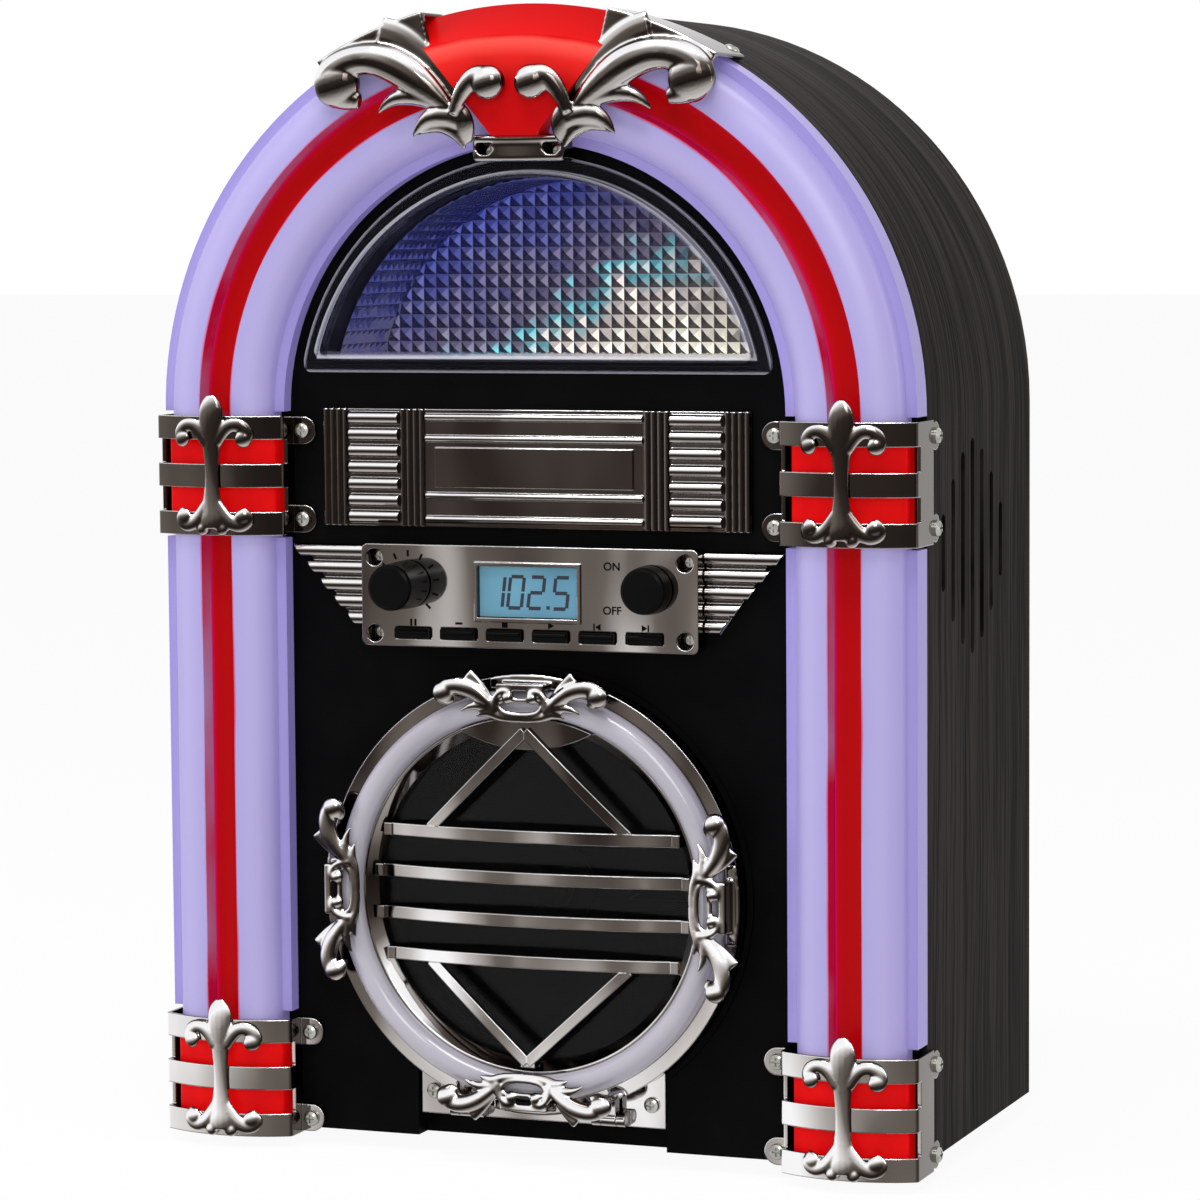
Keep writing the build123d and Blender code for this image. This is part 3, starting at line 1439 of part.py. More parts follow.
def speaker_cone():
    magnet_front = cone_depth + 7.5
    profile = [
        (cone_radius, 1.6), (cone_radius, 2.6), (coil_radius + 0.6, cone_depth + 1.0),
        (coil_radius + 0.6, magnet_front + 3), (coil_radius, magnet_front + 3),
        (coil_radius, cone_depth + 0.4), (8.0, cone_depth - 1.6), (4.5, cone_depth - 3.6),
        (0, cone_depth - 4.4), (0, cone_depth - 5.0), (5.0, cone_depth - 4.2), (9.2, cone_depth - 1.8),
        (12.0, cone_depth - 2.4),
    ]
    return speaker_turned(profile)


# Boards, supply and rear fittings
def main_board():
    """Circuit board on four posts, with a few large components."""
    z = base_thickness + main_lift
    back = rear_rebate_y - main_inset
    front = back - main_depth
    board = block(-main_half, main_half, front, back, z, z + board_thickness)
    solids = [board]
    for x in (main_inset - main_half - 2, main_half - main_inset + 2):
        for y in (front + 6, back - 6):
            solids.append(Pos(x, y, base_thickness + main_lift / 2) * Cylinder(2.5, main_lift))
    top = z + board_thickness
    for x in (-20, -8):
        solids.append(Pos(x, front + 14, top + 7) * Cylinder(5, 14))
    solids.append(block(10, 26, front + 20, front + 36, top, top + 2.4))
    solids.append(block(-40, -30, front + 26, front + 42, top, top + 22))
    return solids


def power_supply():
    """Transformer: iron core round a coil."""
    back = rear_rebate_y - supply_inset
    front = back - supply_depth
    x1 = supply_x + supply_width
    z = base_thickness
    core = block(supply_x, x1, front, back, z, z + supply_height)
    coil = block(supply_x + coil_inset, x1 - coil_inset, front - coil_overhang, back + coil_overhang,
                 z + coil_inset - 1, z + supply_height - coil_inset + 1)
    return core + coil


def rear_fittings():
    """Mains inlet with its two pins, and a round line-in socket."""
    front = rear_rebate_y
    back = cover_back_y
    inlet = slab(rectangle(inlet_x - 12.8, inlet_x + 12.8, inlet_z - 8.3, inlet_z + 8.3), front - 16, back)
    inlet += slab(rectangle(inlet_x - 15, inlet_x + 15, inlet_z - 10.5, inlet_z + 10.5), front - 2, front)
    well = SlotOverall(15.6, 8.4)
    inlet -= slab(Pos(inlet_x, inlet_z) * well, back - 13, back + 1)
    for side in (1, -1):
        inlet += rod(inlet_x + side * 4.0, inlet_z, 1.2, back - 13.5, back - 2)
    jack = rod(jack_x, inlet_z, 3.9, front - 2, back + 0.8)
    jack += block(jack_x - 6, jack_x + 6, front - 14, front - 0.0, inlet_z - 6, inlet_z + 6)
    jack -= rod(jack_x, inlet_z, 1.8, front - 12, back + 2)
    return [inlet, jack]


# Screws
def small_screws():
    """Pan-head screws on the chrome trim."""
    solids = []
    seat_clip = -clip_thickness
    for z in clip_screw_zs:
        front = Pos(clip_screw_x, seat_clip, z) * pan_screw()
        side = Pos(cabinet_half_width + clip_thickness, clip_screw_y, z) * Rot(0, 0, 90) * pan_screw()
        solids += [front, mirrored(front), side, mirrored(side)]
    for z in bezel_screw_z:
        screw = Pos(bezel_screw_x, -1.5, z) * pan_screw()
        solids += [screw, mirrored(screw)]
    hinge = Pos(hinge_screw_x, hinge_plate_front, hinge_screw_z) * pan_screw()
    crest = Pos(crest_screw_x, -crest_screw_seat, crest_screw_z) * pan_screw()
    rear = ear_pose(crest_ear_angle) * Pos(0, -1.6, 0) * pan_screw()
    for screw in (hinge, crest, rear):
        solids += [screw, mirrored(screw)]
    return solids


def board_screws():
    """Screws of the rear cover, the feet, the chassis and the loudspeakers."""
    solids = []
    for x, z in rear_screw_places():
        solids.append(Pos(x, cover_back_y, z) * Rot(0, 0, 180) * pan_screw())
    for x, y in foot_places:
        solids.append(Pos(x, y, foot_screw_seat) * Rot(90, 0, 0) * pan_screw())
    for x, z in chassis_posts:
        back = chassis_front + chassis_thickness
        solids.append(Pos(x, back, door_z + z) * Rot(0, 0, 180) * pan_screw())
    for y, z in speaker_screw_places():
        x = cabinet_half_width - wall - speaker_plate
        screw = Pos(x, y, z) * Rot(0, 0, -90) * pan_screw()
        solids += [screw, mirrored(screw)]
    return solids


def speaker_pilots():
    """Blind holes in the sides for the loudspeakers' screws."""
    holes = []
    for y, z in speaker_screw_places():
        x = cabinet_half_width - wall
        hole = Pos(x, y, z) * Rot(0, 90, 0) * Cylinder(screw_shank_radius + pilot_gap, 13)
        holes += [hole, mirrored(hole)]
    return holes


add("cabinet_shell", cabinet_shell() - speaker_pilots())
add("base_board", base_board())
add("rear_cover", rear_cover())
add("rubber_feet", *[Pos(x, y, 0) * rubber_foot() for x, y in foot_places])
add("front_panel", front_panel())

add("arch_light_cover", arch_light_cover())
add("column_light_covers", column_light_cover(), mirrored(column_light_cover()))
add("arch_red_strip", along_arch(strip_sketch(), 0, 180))
column_strip = along_column(strip_sketch(), column_bottom_z, column_top_z)
add("column_red_strips", column_strip, mirrored(column_strip))
add("light_boards", *light_boards())

for level, clip_z in (("upper", clip_upper_z), ("lower", clip_lower_z)):
    add(f"{level}_clips", clip(clip_z), mirrored(clip(clip_z)))
lenses = [bracket_lens(clip_upper_z), bracket_lens(clip_lower_z)]
add("clip_lenses", *lenses, *[mirrored(lens) for lens in lenses])
lilies = [lily(clip_upper_z), lily(clip_lower_z)]
add("lily_ornaments", *lilies, *[mirrored(piece) for piece in lilies])

add("crest_lens", crest_lens())
add("crest_ornament", crest_ornament())
add("dome_window", dome_window())
add("dome_drum", dome_drum())
add("title_plate", title_plate())
add("wing_trims", wing_trim(), mirrored(wing_trim()))

add("control_bezel", control_bezel())
add("control_board", *control_board(), display_block())
add("display_glass", display_glass())
add("volume_pot", volume_pot())
add("volume_knob", turned_knob(-knob_x, volume_reach, shaft_radius, board_front - 1.0))
add("light_switch", light_switch())
add("light_knob", turned_knob(knob_x, light_reach, plunger_radius, board_front - 1.4))
for number in range(button_count):
    add(f"button_{number + 1}", push_button(number))

add("door_ring", door_ring())
add("door_light_ring", door_light_ring())
add("door_grille", door_grille())
add("door_bars", *door_bars())
add("door_window", door_window())
add("door_scrolls", *[door_scroll(angle) for angle in (0, 90, 180, 270)])
add("hinge_plate", hinge_plate())
add("hinge_pins", *hinge_pins())

add("disc_well", disc_well())
add("mech_chassis", mech_chassis())
add("guide_rods", *guide_rods())
add("spindle_motor", spindle_motor())
add("disc_hub", disc_hub())
add("pickup_sled", pickup_sled(), pickup_lens())
add("sled_drive_gear", drive_gear())
add("sled_motor", sled_motor())
add("sled_motor_pinion", motor_pinion())
add("latch_housing", latch_housing())
add("latch_plunger", latch_plunger())

add("speaker_frames", speaker_frame(), mirrored(speaker_frame()))
add("right_speaker_cone", speaker_cone())
add("left_speaker_cone", mirrored(speaker_cone()))
add("main_board", *main_board())
add("power_supply", power_supply())
add("rear_fittings", *rear_fittings())
add("trim_screws", *small_screws())
add("board_screws", *board_screws())

for name, shapes in nodes.items():
    piece = shapes[0] if len(shapes) == 1 else Compound(children=shapes)
    export_step(piece, f"parts/{name}.step")
print(len(nodes), "nodes")
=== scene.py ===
import bpy
from math import atan2, cos, pi, radians, sin, sqrt
from mathutils import Matrix, Vector


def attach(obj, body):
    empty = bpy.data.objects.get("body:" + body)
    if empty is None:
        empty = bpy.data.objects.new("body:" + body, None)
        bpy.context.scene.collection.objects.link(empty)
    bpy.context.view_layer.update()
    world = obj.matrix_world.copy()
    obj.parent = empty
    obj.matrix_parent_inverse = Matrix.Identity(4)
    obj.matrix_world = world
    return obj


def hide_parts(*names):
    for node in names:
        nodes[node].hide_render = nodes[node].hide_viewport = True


# Looks of an arched table-top disc player with light tubes. Lengths are in
# metres in the model's frame: X to the right, Y to the back, Z up from the
# table. The places of pieces are given in millimetres from the front panel's
# face and the underside of the case, and at() turns them into that frame.
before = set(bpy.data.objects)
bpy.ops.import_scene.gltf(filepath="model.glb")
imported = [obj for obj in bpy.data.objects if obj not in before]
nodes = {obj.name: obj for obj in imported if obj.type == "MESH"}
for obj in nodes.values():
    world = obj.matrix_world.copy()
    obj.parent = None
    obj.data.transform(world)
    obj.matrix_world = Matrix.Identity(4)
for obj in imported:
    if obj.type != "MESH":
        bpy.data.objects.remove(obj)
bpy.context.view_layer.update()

# Cabinet: bent board, covered in black ash vinyl whose fine dark grain runs up
# the sides and over the arch. The rear cover and the base are plain board.
PANEL_FACE = -53.25
FOOT_HEIGHT = 7.5
ARCH_CENTRE = 248.4


def at(x, y, z):
    """Place in the model's frame, from millimetres off the panel's face."""
    return Vector((x, y + PANEL_FACE, z + FOOT_HEIGHT)) / 1000


def grey(value):
    """Linear grey from 0 to 1."""
    return (value, value, value, 1)


def tone(red, green, blue):
    """Linear colour from the 0 to 255 values of a colour chart."""
    parts = []
    for value in (red, green, blue):
        part = value / 255
        parts.append(part / 12.92 if part <= 0.04045 else ((part + 0.055) / 1.055) ** 2.4)
    return (*parts, 1.0)


class Finish:
    """A material under construction, with its shader and Object coordinates."""

    def __init__(self, name, **values):
        self.material = bpy.data.materials.new(name)
        self.material.use_nodes = True
        self.tree = self.material.node_tree
        self.shader = self.tree.nodes["Principled BSDF"]
        self.coords = self.add("ShaderNodeTexCoord").outputs["Object"]
        for socket, value in values.items():
            self.shader.inputs[socket.replace("_", " ")].default_value = value

    def add(self, kind, inputs=(), **settings):
        """New node; inputs are pairs of a socket's name or number and what goes in."""
        node = self.tree.nodes.new(kind)
        for setting, value in settings.items():
            setattr(node, setting, value)
        for socket, value in inputs:
            self.feed(node.inputs[socket], value)
        return node

    def feed(self, socket, value):
        if isinstance(value, bpy.types.NodeSocket):
            self.tree.links.new(value, socket)
        else:
            socket.default_value = value

    def ramp(self, value, *stops):
        """Colour ramp from (position, colour) stops."""
        node = self.add("ShaderNodeValToRGB", [("Fac", value)])
        marks = node.color_ramp.elements
        while len(marks) < len(stops):
            marks.new(1.0)
        for mark, (place, colour) in zip(marks, stops):
            mark.position = place
            mark.color = colour
        return node.outputs["Color"]

    def math(self, operation, first, second=0.0, third=0.0):
        node = self.add("ShaderNodeMath", [(0, first), (1, second), (2, third)], operation=operation)
        return node.outputs[0]

    def shaken(self, value, signal, share):
        """A value moved up and down by a share of a signal that runs from 0 to 1."""
        return self.math("MULTIPLY_ADD", self.math("SUBTRACT", signal, 0.5), share, value)

    def mixed(self, share, first, second):
        """Mix of two colours, by a share from 0 to 1."""
        node = self.add("ShaderNodeMix", [(0, share)], data_type="RGBA")
        sockets = [item for item in node.inputs if item.type == "RGBA"]
        for socket, value in zip(sockets, (first, second)):
            self.feed(socket, value)
        return next(item for item in node.outputs if item.type == "RGBA")

    def noise(self, scale, detail=4.0, stretch=(1, 1, 1), rough=0.55):
        """Noise on Object coordinates, in cells per metre."""
        mapped = self.add("ShaderNodeMapping", [("Vector", self.coords), ("Scale", stretch)])
        node = self.add("ShaderNodeTexNoise", [("Vector", mapped.outputs[0]), ("Scale", scale),
                                               ("Detail", detail), ("Roughness", rough)])
        return node.outputs["Fac"]

    def colour(self, value):
        self.feed(self.shader.inputs["Base Color"], value)

    def roughness(self, value, low, high):
        node = self.add("ShaderNodeMapRange", [("Value", value), ("To Min", low), ("To Max", high)])
        self.feed(self.shader.inputs["Roughness"], node.outputs[0])

    def bump(self, height, distance, strength=1.0):
        node = self.add("ShaderNodeBump", [("Height", height), ("Distance", distance),
                                           ("Strength", strength)])
        self.feed(self.shader.inputs["Normal"], node.outputs[0])

    def on(self, *names):
        """Give this finish to CAD nodes, by name."""
        for name in names:
            target = nodes[name]
            target.data.materials.clear()
            target.data.materials.append(self.material)


def mottled(name, dark, light, scale, gloss, bump=0.0, stretch=(1, 1, 1), **values):
    """Finish whose tone and gloss wander a little, as moulded or rolled stock does."""
    made = Finish(name, **values)
    wander = made.noise(scale, stretch=stretch)
    made.colour(made.ramp(wander, (0.3, dark), (0.7, light)))
    made.roughness(made.noise(scale * 2.3, 3.0, stretch), *gloss)
    if bump:
        made.bump(made.noise(scale * 9, 2.0, stretch), bump)
    return made


GRAIN_WANDER = (0.0, 0.011, 0.0)
FINE_GRAIN = (14, 620, 14)
BROAD_GRAIN = (5, 150, 5)
vinyl = Finish("black_ash_vinyl", Specular_IOR_Level=0.025)
drift = vinyl.noise(9, 3.0, (1, 2.5, 1))
sideways = vinyl.add("ShaderNodeVectorMath", [(0, GRAIN_WANDER), ("Scale", drift)], operation="SCALE")
bent = vinyl.add("ShaderNodeVectorMath", [(0, vinyl.coords), (1, sideways.outputs[0])])
fine = vinyl.add("ShaderNodeMapping", [("Vector", bent.outputs[0]), ("Scale", FINE_GRAIN)])
streaks = vinyl.add("ShaderNodeTexNoise", [("Vector", fine.outputs[0]), ("Scale", 1.0), ("Detail", 3.0)])
broad = vinyl.add("ShaderNodeMapping", [("Vector", bent.outputs[0]), ("Scale", BROAD_GRAIN)])
bands = vinyl.add("ShaderNodeTexNoise", [("Vector", broad.outputs[0]), ("Scale", 1.0), ("Detail", 2.0)])
thin_part = vinyl.math("MULTIPLY", streaks.outputs["Fac"], 0.62)
grain = vinyl.math("MULTIPLY_ADD", bands.outputs["Fac"], 0.45, thin_part)
vinyl.colour(vinyl.ramp(grain, (0.42, tone(7, 5, 4)), (0.50, tone(22, 19, 17)),
                        (0.62, tone(44, 39, 36))))
vinyl.roughness(grain, 0.66, 0.52)
vinyl.bump(grain, 0.0004, 0.7)
vinyl.on("cabinet_shell")

backing = mottled("rear_board", tone(26, 24, 23), tone(38, 36, 34), 60, (0.6, 0.75), 0.0002)
backing.on("rear_cover")
board = mottled("raw_board", tone(120, 95, 70), tone(150, 122, 92), 90, (0.7, 0.85), 0.0002, (1, 1, 4))
board.on("base_board")

# Rubber feet: turned soft feet under the base board, each held by a screw in
# its recess.
rubber = mottled("foot_rubber", tone(16, 16, 17), tone(28, 28, 29), 300, (0.6, 0.8), 0.0001)
rubber.on("rubber_feet")

# Front panel: one black moulding with a fine matt texture. The disc well behind
# the door, the sled and the disc hub are of the same kind of plastic.
moulding = mottled("black_moulding", tone(6, 6, 7), tone(11, 11, 12), 35, (0.4, 0.5),
                   Specular_IOR_Level=0.02)
moulding.bump(moulding.noise(2600, 2.0), 0.00006, 0.5)
moulding.on("front_panel")
well_black = mottled("well_black", tone(7, 7, 8), tone(12, 12, 13), 50, (0.4, 0.5),
                     Specular_IOR_Level=0.03)
well_black.on("disc_well", "pickup_sled", "disc_hub")

# Light tubes: translucent covers over rows of lamps, glowing pale lilac. Painted
# highlight brightens each crown; painted shade turns the flanges and groove sides violet.


def across(made):
    """Distance from the middle line of the arch or of the straight sides, in metres."""
    split = made.add("ShaderNodeSeparateXYZ", [(0, made.coords)])
    above = made.math("SUBTRACT", split.outputs["Z"], at(0, 0, ARCH_CENTRE).z)
    rise = made.math("MAXIMUM", above, 0.0)
    flat = made.add("ShaderNodeCombineXYZ", [("X", split.outputs["X"]), ("Z", rise)])
    return made.add("ShaderNodeVectorMath", [(0, flat.outputs[0])], operation="LENGTH").outputs["Value"]


def band(made, start, width):
    """Where a place lies between a band's inner edge, at 0, and its outer edge, at 1."""
    return made.math("DIVIDE", made.math("SUBTRACT", across(made), start), width)


TUBE_INNER = 0.0908
TUBE_WIDTH = 0.0452
lilac = Finish("lit_lilac", Roughness=0.3, Specular_IOR_Level=0.35, Emission_Strength=0.24)
section = lilac.shaken(band(lilac, TUBE_INNER, TUBE_WIDTH), lilac.noise(16, 2.0), 0.06)
shaded_edge_violet = tone(136, 125, 186)
shaded_flank_lilac = tone(148, 139, 188)
pale = tone(154, 146, 190)
mid = tone(146, 138, 186)
groove = tone(170, 12, 60)
# Painted highlight lightens each crown, and painted shade darkens the flanges and the sides of the groove.
lilac.colour(lilac.ramp(section, (0.0, shaded_edge_violet), (0.1, shaded_flank_lilac), (0.2, pale), (0.36, mid), (0.379, groove),
                        (0.621, groove), (0.64, mid), (0.8, pale), (0.9, shaded_flank_lilac), (1.0, shaded_edge_violet)))
shaded_edge_glow = tone(138, 128, 197)
shaded_flank_glow = tone(152, 143, 202)
lit_crown_glow = tone(170, 162, 210)
mid_glow = tone(160, 151, 205)
groove_glow = tone(190, 10, 60)
# The lamps' glow, carrying the same painted highlight over the crown and painted shade at the flanges.
glow = lilac.ramp(section, (0.0, shaded_edge_glow), (0.12, shaded_flank_glow), (0.24, lit_crown_glow), (0.36, mid_glow),
                  (0.379, groove_glow), (0.621, groove_glow), (0.64, mid_glow), (0.76, lit_crown_glow),
                  (0.88, shaded_flank_glow), (1.0, shaded_edge_glow))
lilac.feed(lilac.shader.inputs["Emission Color"], glow)
lilac.on("arch_light_cover", "column_light_covers")

# Red strips: clear red plastic that lies in the tubes' groove, with a magenta
# edge where the lilac light gets in.
STRIP_INNER = 0.1080
STRIP_WIDTH = 0.0108
red_strip = Finish("red_strip", Roughness=0.25, Specular_IOR_Level=0.05, Emission_Strength=0.35)
place = red_strip.shaken(band(red_strip, STRIP_INNER, STRIP_WIDTH), red_strip.noise(26, 2.0), 0.06)
magenta = tone(186, 16, 84)
crimson = tone(172, 8, 26)
deep_red = tone(160, 5, 9)
strip_tone = red_strip.ramp(place, (0.0, magenta), (0.1, crimson), (0.3, deep_red), (0.7, deep_red),
                            (0.9, crimson), (1.0, magenta))
red_strip.colour(strip_tone)
red_strip.feed(red_strip.shader.inputs["Emission Color"], strip_tone)
red_strip.on("arch_red_strip", "column_red_strips")

# Lamp boards: thin white circuit boards under the covers, which carry the rows
# of lamps.
lamp_white = mottled("lamp_board", tone(196, 196, 200), tone(216, 216, 220), 200, (0.4, 0.55))
lamp_white.on("light_boards")

# Clips: chromed mouldings of three bands with screw ears, round each joint of
# the tubes. The chrome's dark tone and white bands are painted reflection.
SOFT_EDGE = 0.0005
# Heights over which the chrome's painted reflection of the table fades in.
TABLE_REFLECTION_TOP = 0.15
TABLE_REFLECTION_FULL = 0.03


def chrome_with_painted_reflection(name, painted_reflection_offset, painted_reflection_wander=0.16):
    """Chrome whose colour is painted reflection: dark ahead, white where it leans up, paler near the table
    and underneath.
    """
    made = Finish(name, Metallic=1.0)
    edge = made.add("ShaderNodeBevel", [("Radius", SOFT_EDGE)], samples=6)
    made.feed(made.shader.inputs["Normal"], edge.outputs[0])
    way = made.add("ShaderNodeSeparateXYZ", [(0, edge.outputs[0])])
    drift = made.math("SUBTRACT", made.noise(26, 1.0, (1.6, 1, 0.5), 0.4), 0.5)
    upward = made.math("MULTIPLY", way.outputs["Z"], 0.6)
    lean = made.math("MULTIPLY_ADD", way.outputs["X"], -0.16, upward)
    height = made.add("ShaderNodeSeparateXYZ", [(0, made.coords)]).outputs["Z"]
    painted_table_reflection = made.add("ShaderNodeMapRange", [("Value", height), ("From Min", TABLE_REFLECTION_TOP),
                                                 ("From Max", TABLE_REFLECTION_FULL), ("To Max", 0.12)])
    lean = made.math("ADD", lean, painted_table_reflection.outputs[0])
    lean = made.math("ADD", made.math("MULTIPLY_ADD", drift, painted_reflection_wander, lean), painted_reflection_offset)
    # Faces that look ahead: painted reflection of the table low down, then dark, a white painted highlight
    # band where the face leans up, and dark again on top.
    painted_reflection_ahead = made.ramp(lean, (0.0, tone(196, 192, 190)), (0.16, tone(168, 162, 158)), (0.27, tone(84, 77, 72)),
                      (0.34, tone(24, 20, 18)), (0.45, tone(46, 39, 35)), (0.53, tone(104, 96, 90)),
                      (0.59, tone(196, 191, 188)), (0.64, tone(248, 247, 248)), (0.86, tone(236, 235, 238)),
                      (0.93, tone(110, 102, 96)), (1.0, tone(58, 50, 46)))
    level = made.math("MULTIPLY_ADD", drift, painted_reflection_wander * 2, 0.5)
    lift = made.math("MULTIPLY_ADD", way.outputs["Z"], 0.5, level)
    # Faces turned sideways: painted reflection, paler where they face down, darker as they face up.
    painted_reflection_beside = made.ramp(lift, (0.0, tone(202, 197, 194)), (0.3, tone(160, 153, 148)), (0.47, tone(92, 83, 76)),
                       (0.62, tone(50, 40, 34)), (0.85, tone(42, 33, 28)), (1.0, tone(74, 64, 57)))
    turn = made.math("ABSOLUTE", way.outputs["Y"])
    facing = made.add("ShaderNodeMapRange", [("Value", turn), ("From Min", 0.15), ("From Max", 0.5)])
    made.colour(made.mixed(facing.outputs[0], painted_reflection_beside, painted_reflection_ahead))
    made.roughness(made.noise(90, 2.0), 0.03, 0.08)
    return made


chrome = chrome_with_painted_reflection("bright_chrome", 0.45)
chrome.on("upper_clips", "lower_clips")

# Red blocks in the clips: hollow blocks of clear red plastic that show between
# the bands, lit from behind.
block_red = Finish("lit_red_block", Roughness=0.35, Specular_IOR_Level=0.06, Emission_Strength=0.5)
block_tone = block_red.ramp(block_red.noise(38, 2.0), (0.3, tone(180, 4, 8)), (0.7, tone(212, 12, 12)))
block_red.colour(block_tone)
block_red.feed(block_red.shader.inputs["Emission Color"], block_tone)
block_red.on("clip_lenses")

# Lilies: one flat cast ornament on the crown of each clip, chromed, with a
# rounded edge and a slightly domed face.


def alone(piece):
    """Select one piece and nothing else."""
    bpy.ops.object.select_all(action="DESELECT")
    piece.select_set(True)
    bpy.context.view_layer.objects.active = piece


def shape(piece, kind, **settings):
    """Add a modifier with these settings and apply it."""
    alone(piece)
    bpy.ops.object.modifier_add(type=kind)
    for setting, value in settings.items():
        setattr(piece.modifiers[-1], setting, value)
    bpy.ops.object.modifier_apply(modifier=piece.modifiers[-1].name)


def placed(piece, name, made, body="cabinet", stands_for=(), smooth=50):
    """Name a finished piece, give it its finish, and fix it to its body."""
    alone(piece)
    bpy.ops.object.transform_apply(location=True, rotation=True, scale=True)
    bpy.ops.object.shade_smooth_by_angle(angle=radians(smooth))
    piece.name = name
    piece.data.name = name
    piece.data.materials.clear()
    piece.data.materials.append(made.material)
    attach(piece, body)
    if stands_for:
        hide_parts(*stands_for)
    return piece


def vine(points, depth, flat=0.7, closed=False):
    """Round stroke along (x, z, radius) points at a depth, flattened front to back.

    A fourth number moves a point back from that depth.
    """
    made = bpy.data.curves.new("vine", "CURVE")
    made.dimensions = "3D"
    made.bevel_depth = 1.0
    made.bevel_resolution = 5
    made.use_fill_caps = True
    made.resolution_u = 10
    line = made.splines.new("NURBS")
    line.points.add(len(points) - 1)
    for point, (x, z, radius, *back) in zip(line.points, points):
        point.co = (x, sum(back) / flat, z, 1)
        point.radius = radius
    line.order_u = 4 if not closed else 3
    line.use_cyclic_u = closed
    line.use_endpoint_u = not closed
    holder = bpy.data.objects.new("vine", made)
    bpy.context.scene.collection.objects.link(holder)
    alone(holder)
    bpy.ops.object.convert(target="MESH")
    holder = bpy.context.object
    holder.data.transform(Matrix.Translation((0, depth, 0)) @ Matrix.Scale(flat, 4, (0, 1, 0)))
    return holder


def bead(x, z, radius, depth, flat=0.7):
    """Flattened ball at the end of a scroll."""
    bpy.ops.mesh.primitive_uv_sphere_add(segments=32, ring_count=16, radius=radius)
    ball = bpy.context.object
    ball.data.transform(Matrix.Translation((x, depth, z)) @ Matrix.Scale(flat, 4, (0, 1, 0)))
    return ball


def plate(lay, cuts=12):
    """Subdivided cube whose corners, from -1 to 1, are laid out by a function."""
    bpy.ops.mesh.primitive_cube_add(size=2)
    made = bpy.context.object
    bpy.ops.object.mode_set(mode="EDIT")
    bpy.ops.mesh.subdivide(number_cuts=cuts)
    bpy.ops.object.mode_set(mode="OBJECT")
    for vertex in made.data.vertices:
        vertex.co = lay(*vertex.co)
    return made


def joined(pieces):
    """Join pieces into the first."""
    alone(pieces[0])
    for piece in pieces[1:]:
        piece.select_set(True)
    bpy.ops.object.join()
    return bpy.context.object


def cast(piece, grain, passes=6):
    """Melt overlapping strokes into one smooth skin."""
    shape(piece, "REMESH", mode="VOXEL", voxel_size=grain)
    shape(piece, "SMOOTH", factor=0.5, iterations=passes)


def laid(piece, move):
    """Copy of a piece drawn in millimetres, at its place in metres."""
    copy = piece.copy()
    copy.data = piece.data.copy()
    bpy.context.scene.collection.objects.link(copy)
    copy.data.transform(Matrix.Scale(0.001, 4) @ move)
    return copy


def gone(piece):
    bpy.data.objects.remove(piece)


# The lily is drawn once, from its top down, and stands on all four clips. Its
# sides lean back round the tube's crown.
LILY_FRONT = -16.5
LILY_BEND = 0.011
LILY_RISE = 27.6
TUBE_MIDDLE = 113.4
UPPER_CLIP = ARCH_CENTRE - 21.9
LOWER_CLIP = 17.0
lily_parts = [vine([(0, 0.2, 1.4), (0, -2.2, 4.2), (0, -7.0, 4.9), (0, -12.4, 4.3), (0, -19.0, 3.1),
                    (0, -27.0, 2.5), (0, -33.0, 2.9), (0, -39.0, 4.0), (0, -43.4, 5.4), (0, -45.8, 4.4)],
                   LILY_FRONT, 0.34)]
for side in (1, -1):
    lily_parts.append(vine([(side * 1.6, -16.0, 2.6), (side * 4.4, -11.0, 2.8), (side * 8.4, -9.4, 2.4),
                            (side * 12.4, -11.0, 2.4), (side * 13.2, -14.6, 2.4), (side * 11.0, -16.4, 1.9)],
                           LILY_FRONT, 0.42))
    lily_parts.append(bead(side * 11.6, -14.8, 3.0, LILY_FRONT, 0.46))
    lily_parts.append(vine([(side * 1.6, -37.0, 2.2), (side * 4.2, -41.6, 2.8), (side * 7.4, -44.4, 2.6),
                            (side * 11.8, -45.0, 2.4), (side * 13.4, -42.0, 2.4), (side * 10.6, -39.8, 2.0)],
                           LILY_FRONT, 0.42))
    lily_parts.append(bead(side * 11.2, -41.8, 3.0, LILY_FRONT, 0.46))
    lily_parts.append(bead(side * 3.6, -45.8, 2.4, LILY_FRONT, 0.5))
lily = joined(lily_parts)
cast(lily, 0.4, 3)
for vertex in lily.data.vertices:
    vertex.co.y += LILY_BEND * vertex.co.x ** 2
lilies = []
for x in (TUBE_MIDDLE, -TUBE_MIDDLE):
    for middle in (UPPER_CLIP, LOWER_CLIP):
        top = middle + LILY_RISE + FOOT_HEIGHT
        lilies.append(laid(lily, Matrix.Translation((x, PANEL_FACE, top))))
gone(lily)
placed(joined(lilies), "lily_set", chrome, stands_for=["lily_ornaments"],
       smooth=60)

# Crest lens: a red fan over the top of the arch, lit from behind, with a painted
# highlight band under its shoulder and painted shade, deep red, where it slopes back.
FAN_INNER = 0.093
FAN_WIDTH = 0.044
fan_red = Finish("crest_red", Roughness=0.3, Specular_IOR_Level=0.06, Emission_Strength=0.16)
level = fan_red.shaken(band(fan_red, FAN_INNER, FAN_WIDTH), fan_red.noise(30, 2.0), 0.06)
# Painted highlight: the pale pink band; painted shade: the deeper red on the slope past it.
fan_red_and_painted_light = fan_red.ramp(level, (0.0, tone(170, 6, 10)), (0.4, tone(184, 9, 12)), (0.6, tone(206, 34, 30)),
                        (0.72, tone(228, 78, 70)), (0.76, tone(196, 12, 14)), (1.0, tone(172, 6, 9)))
fan_red.colour(fan_red_and_painted_light)
fan_red.feed(fan_red.shader.inputs["Emission Color"], fan_red_and_painted_light)
fan_red.on("crest_lens")

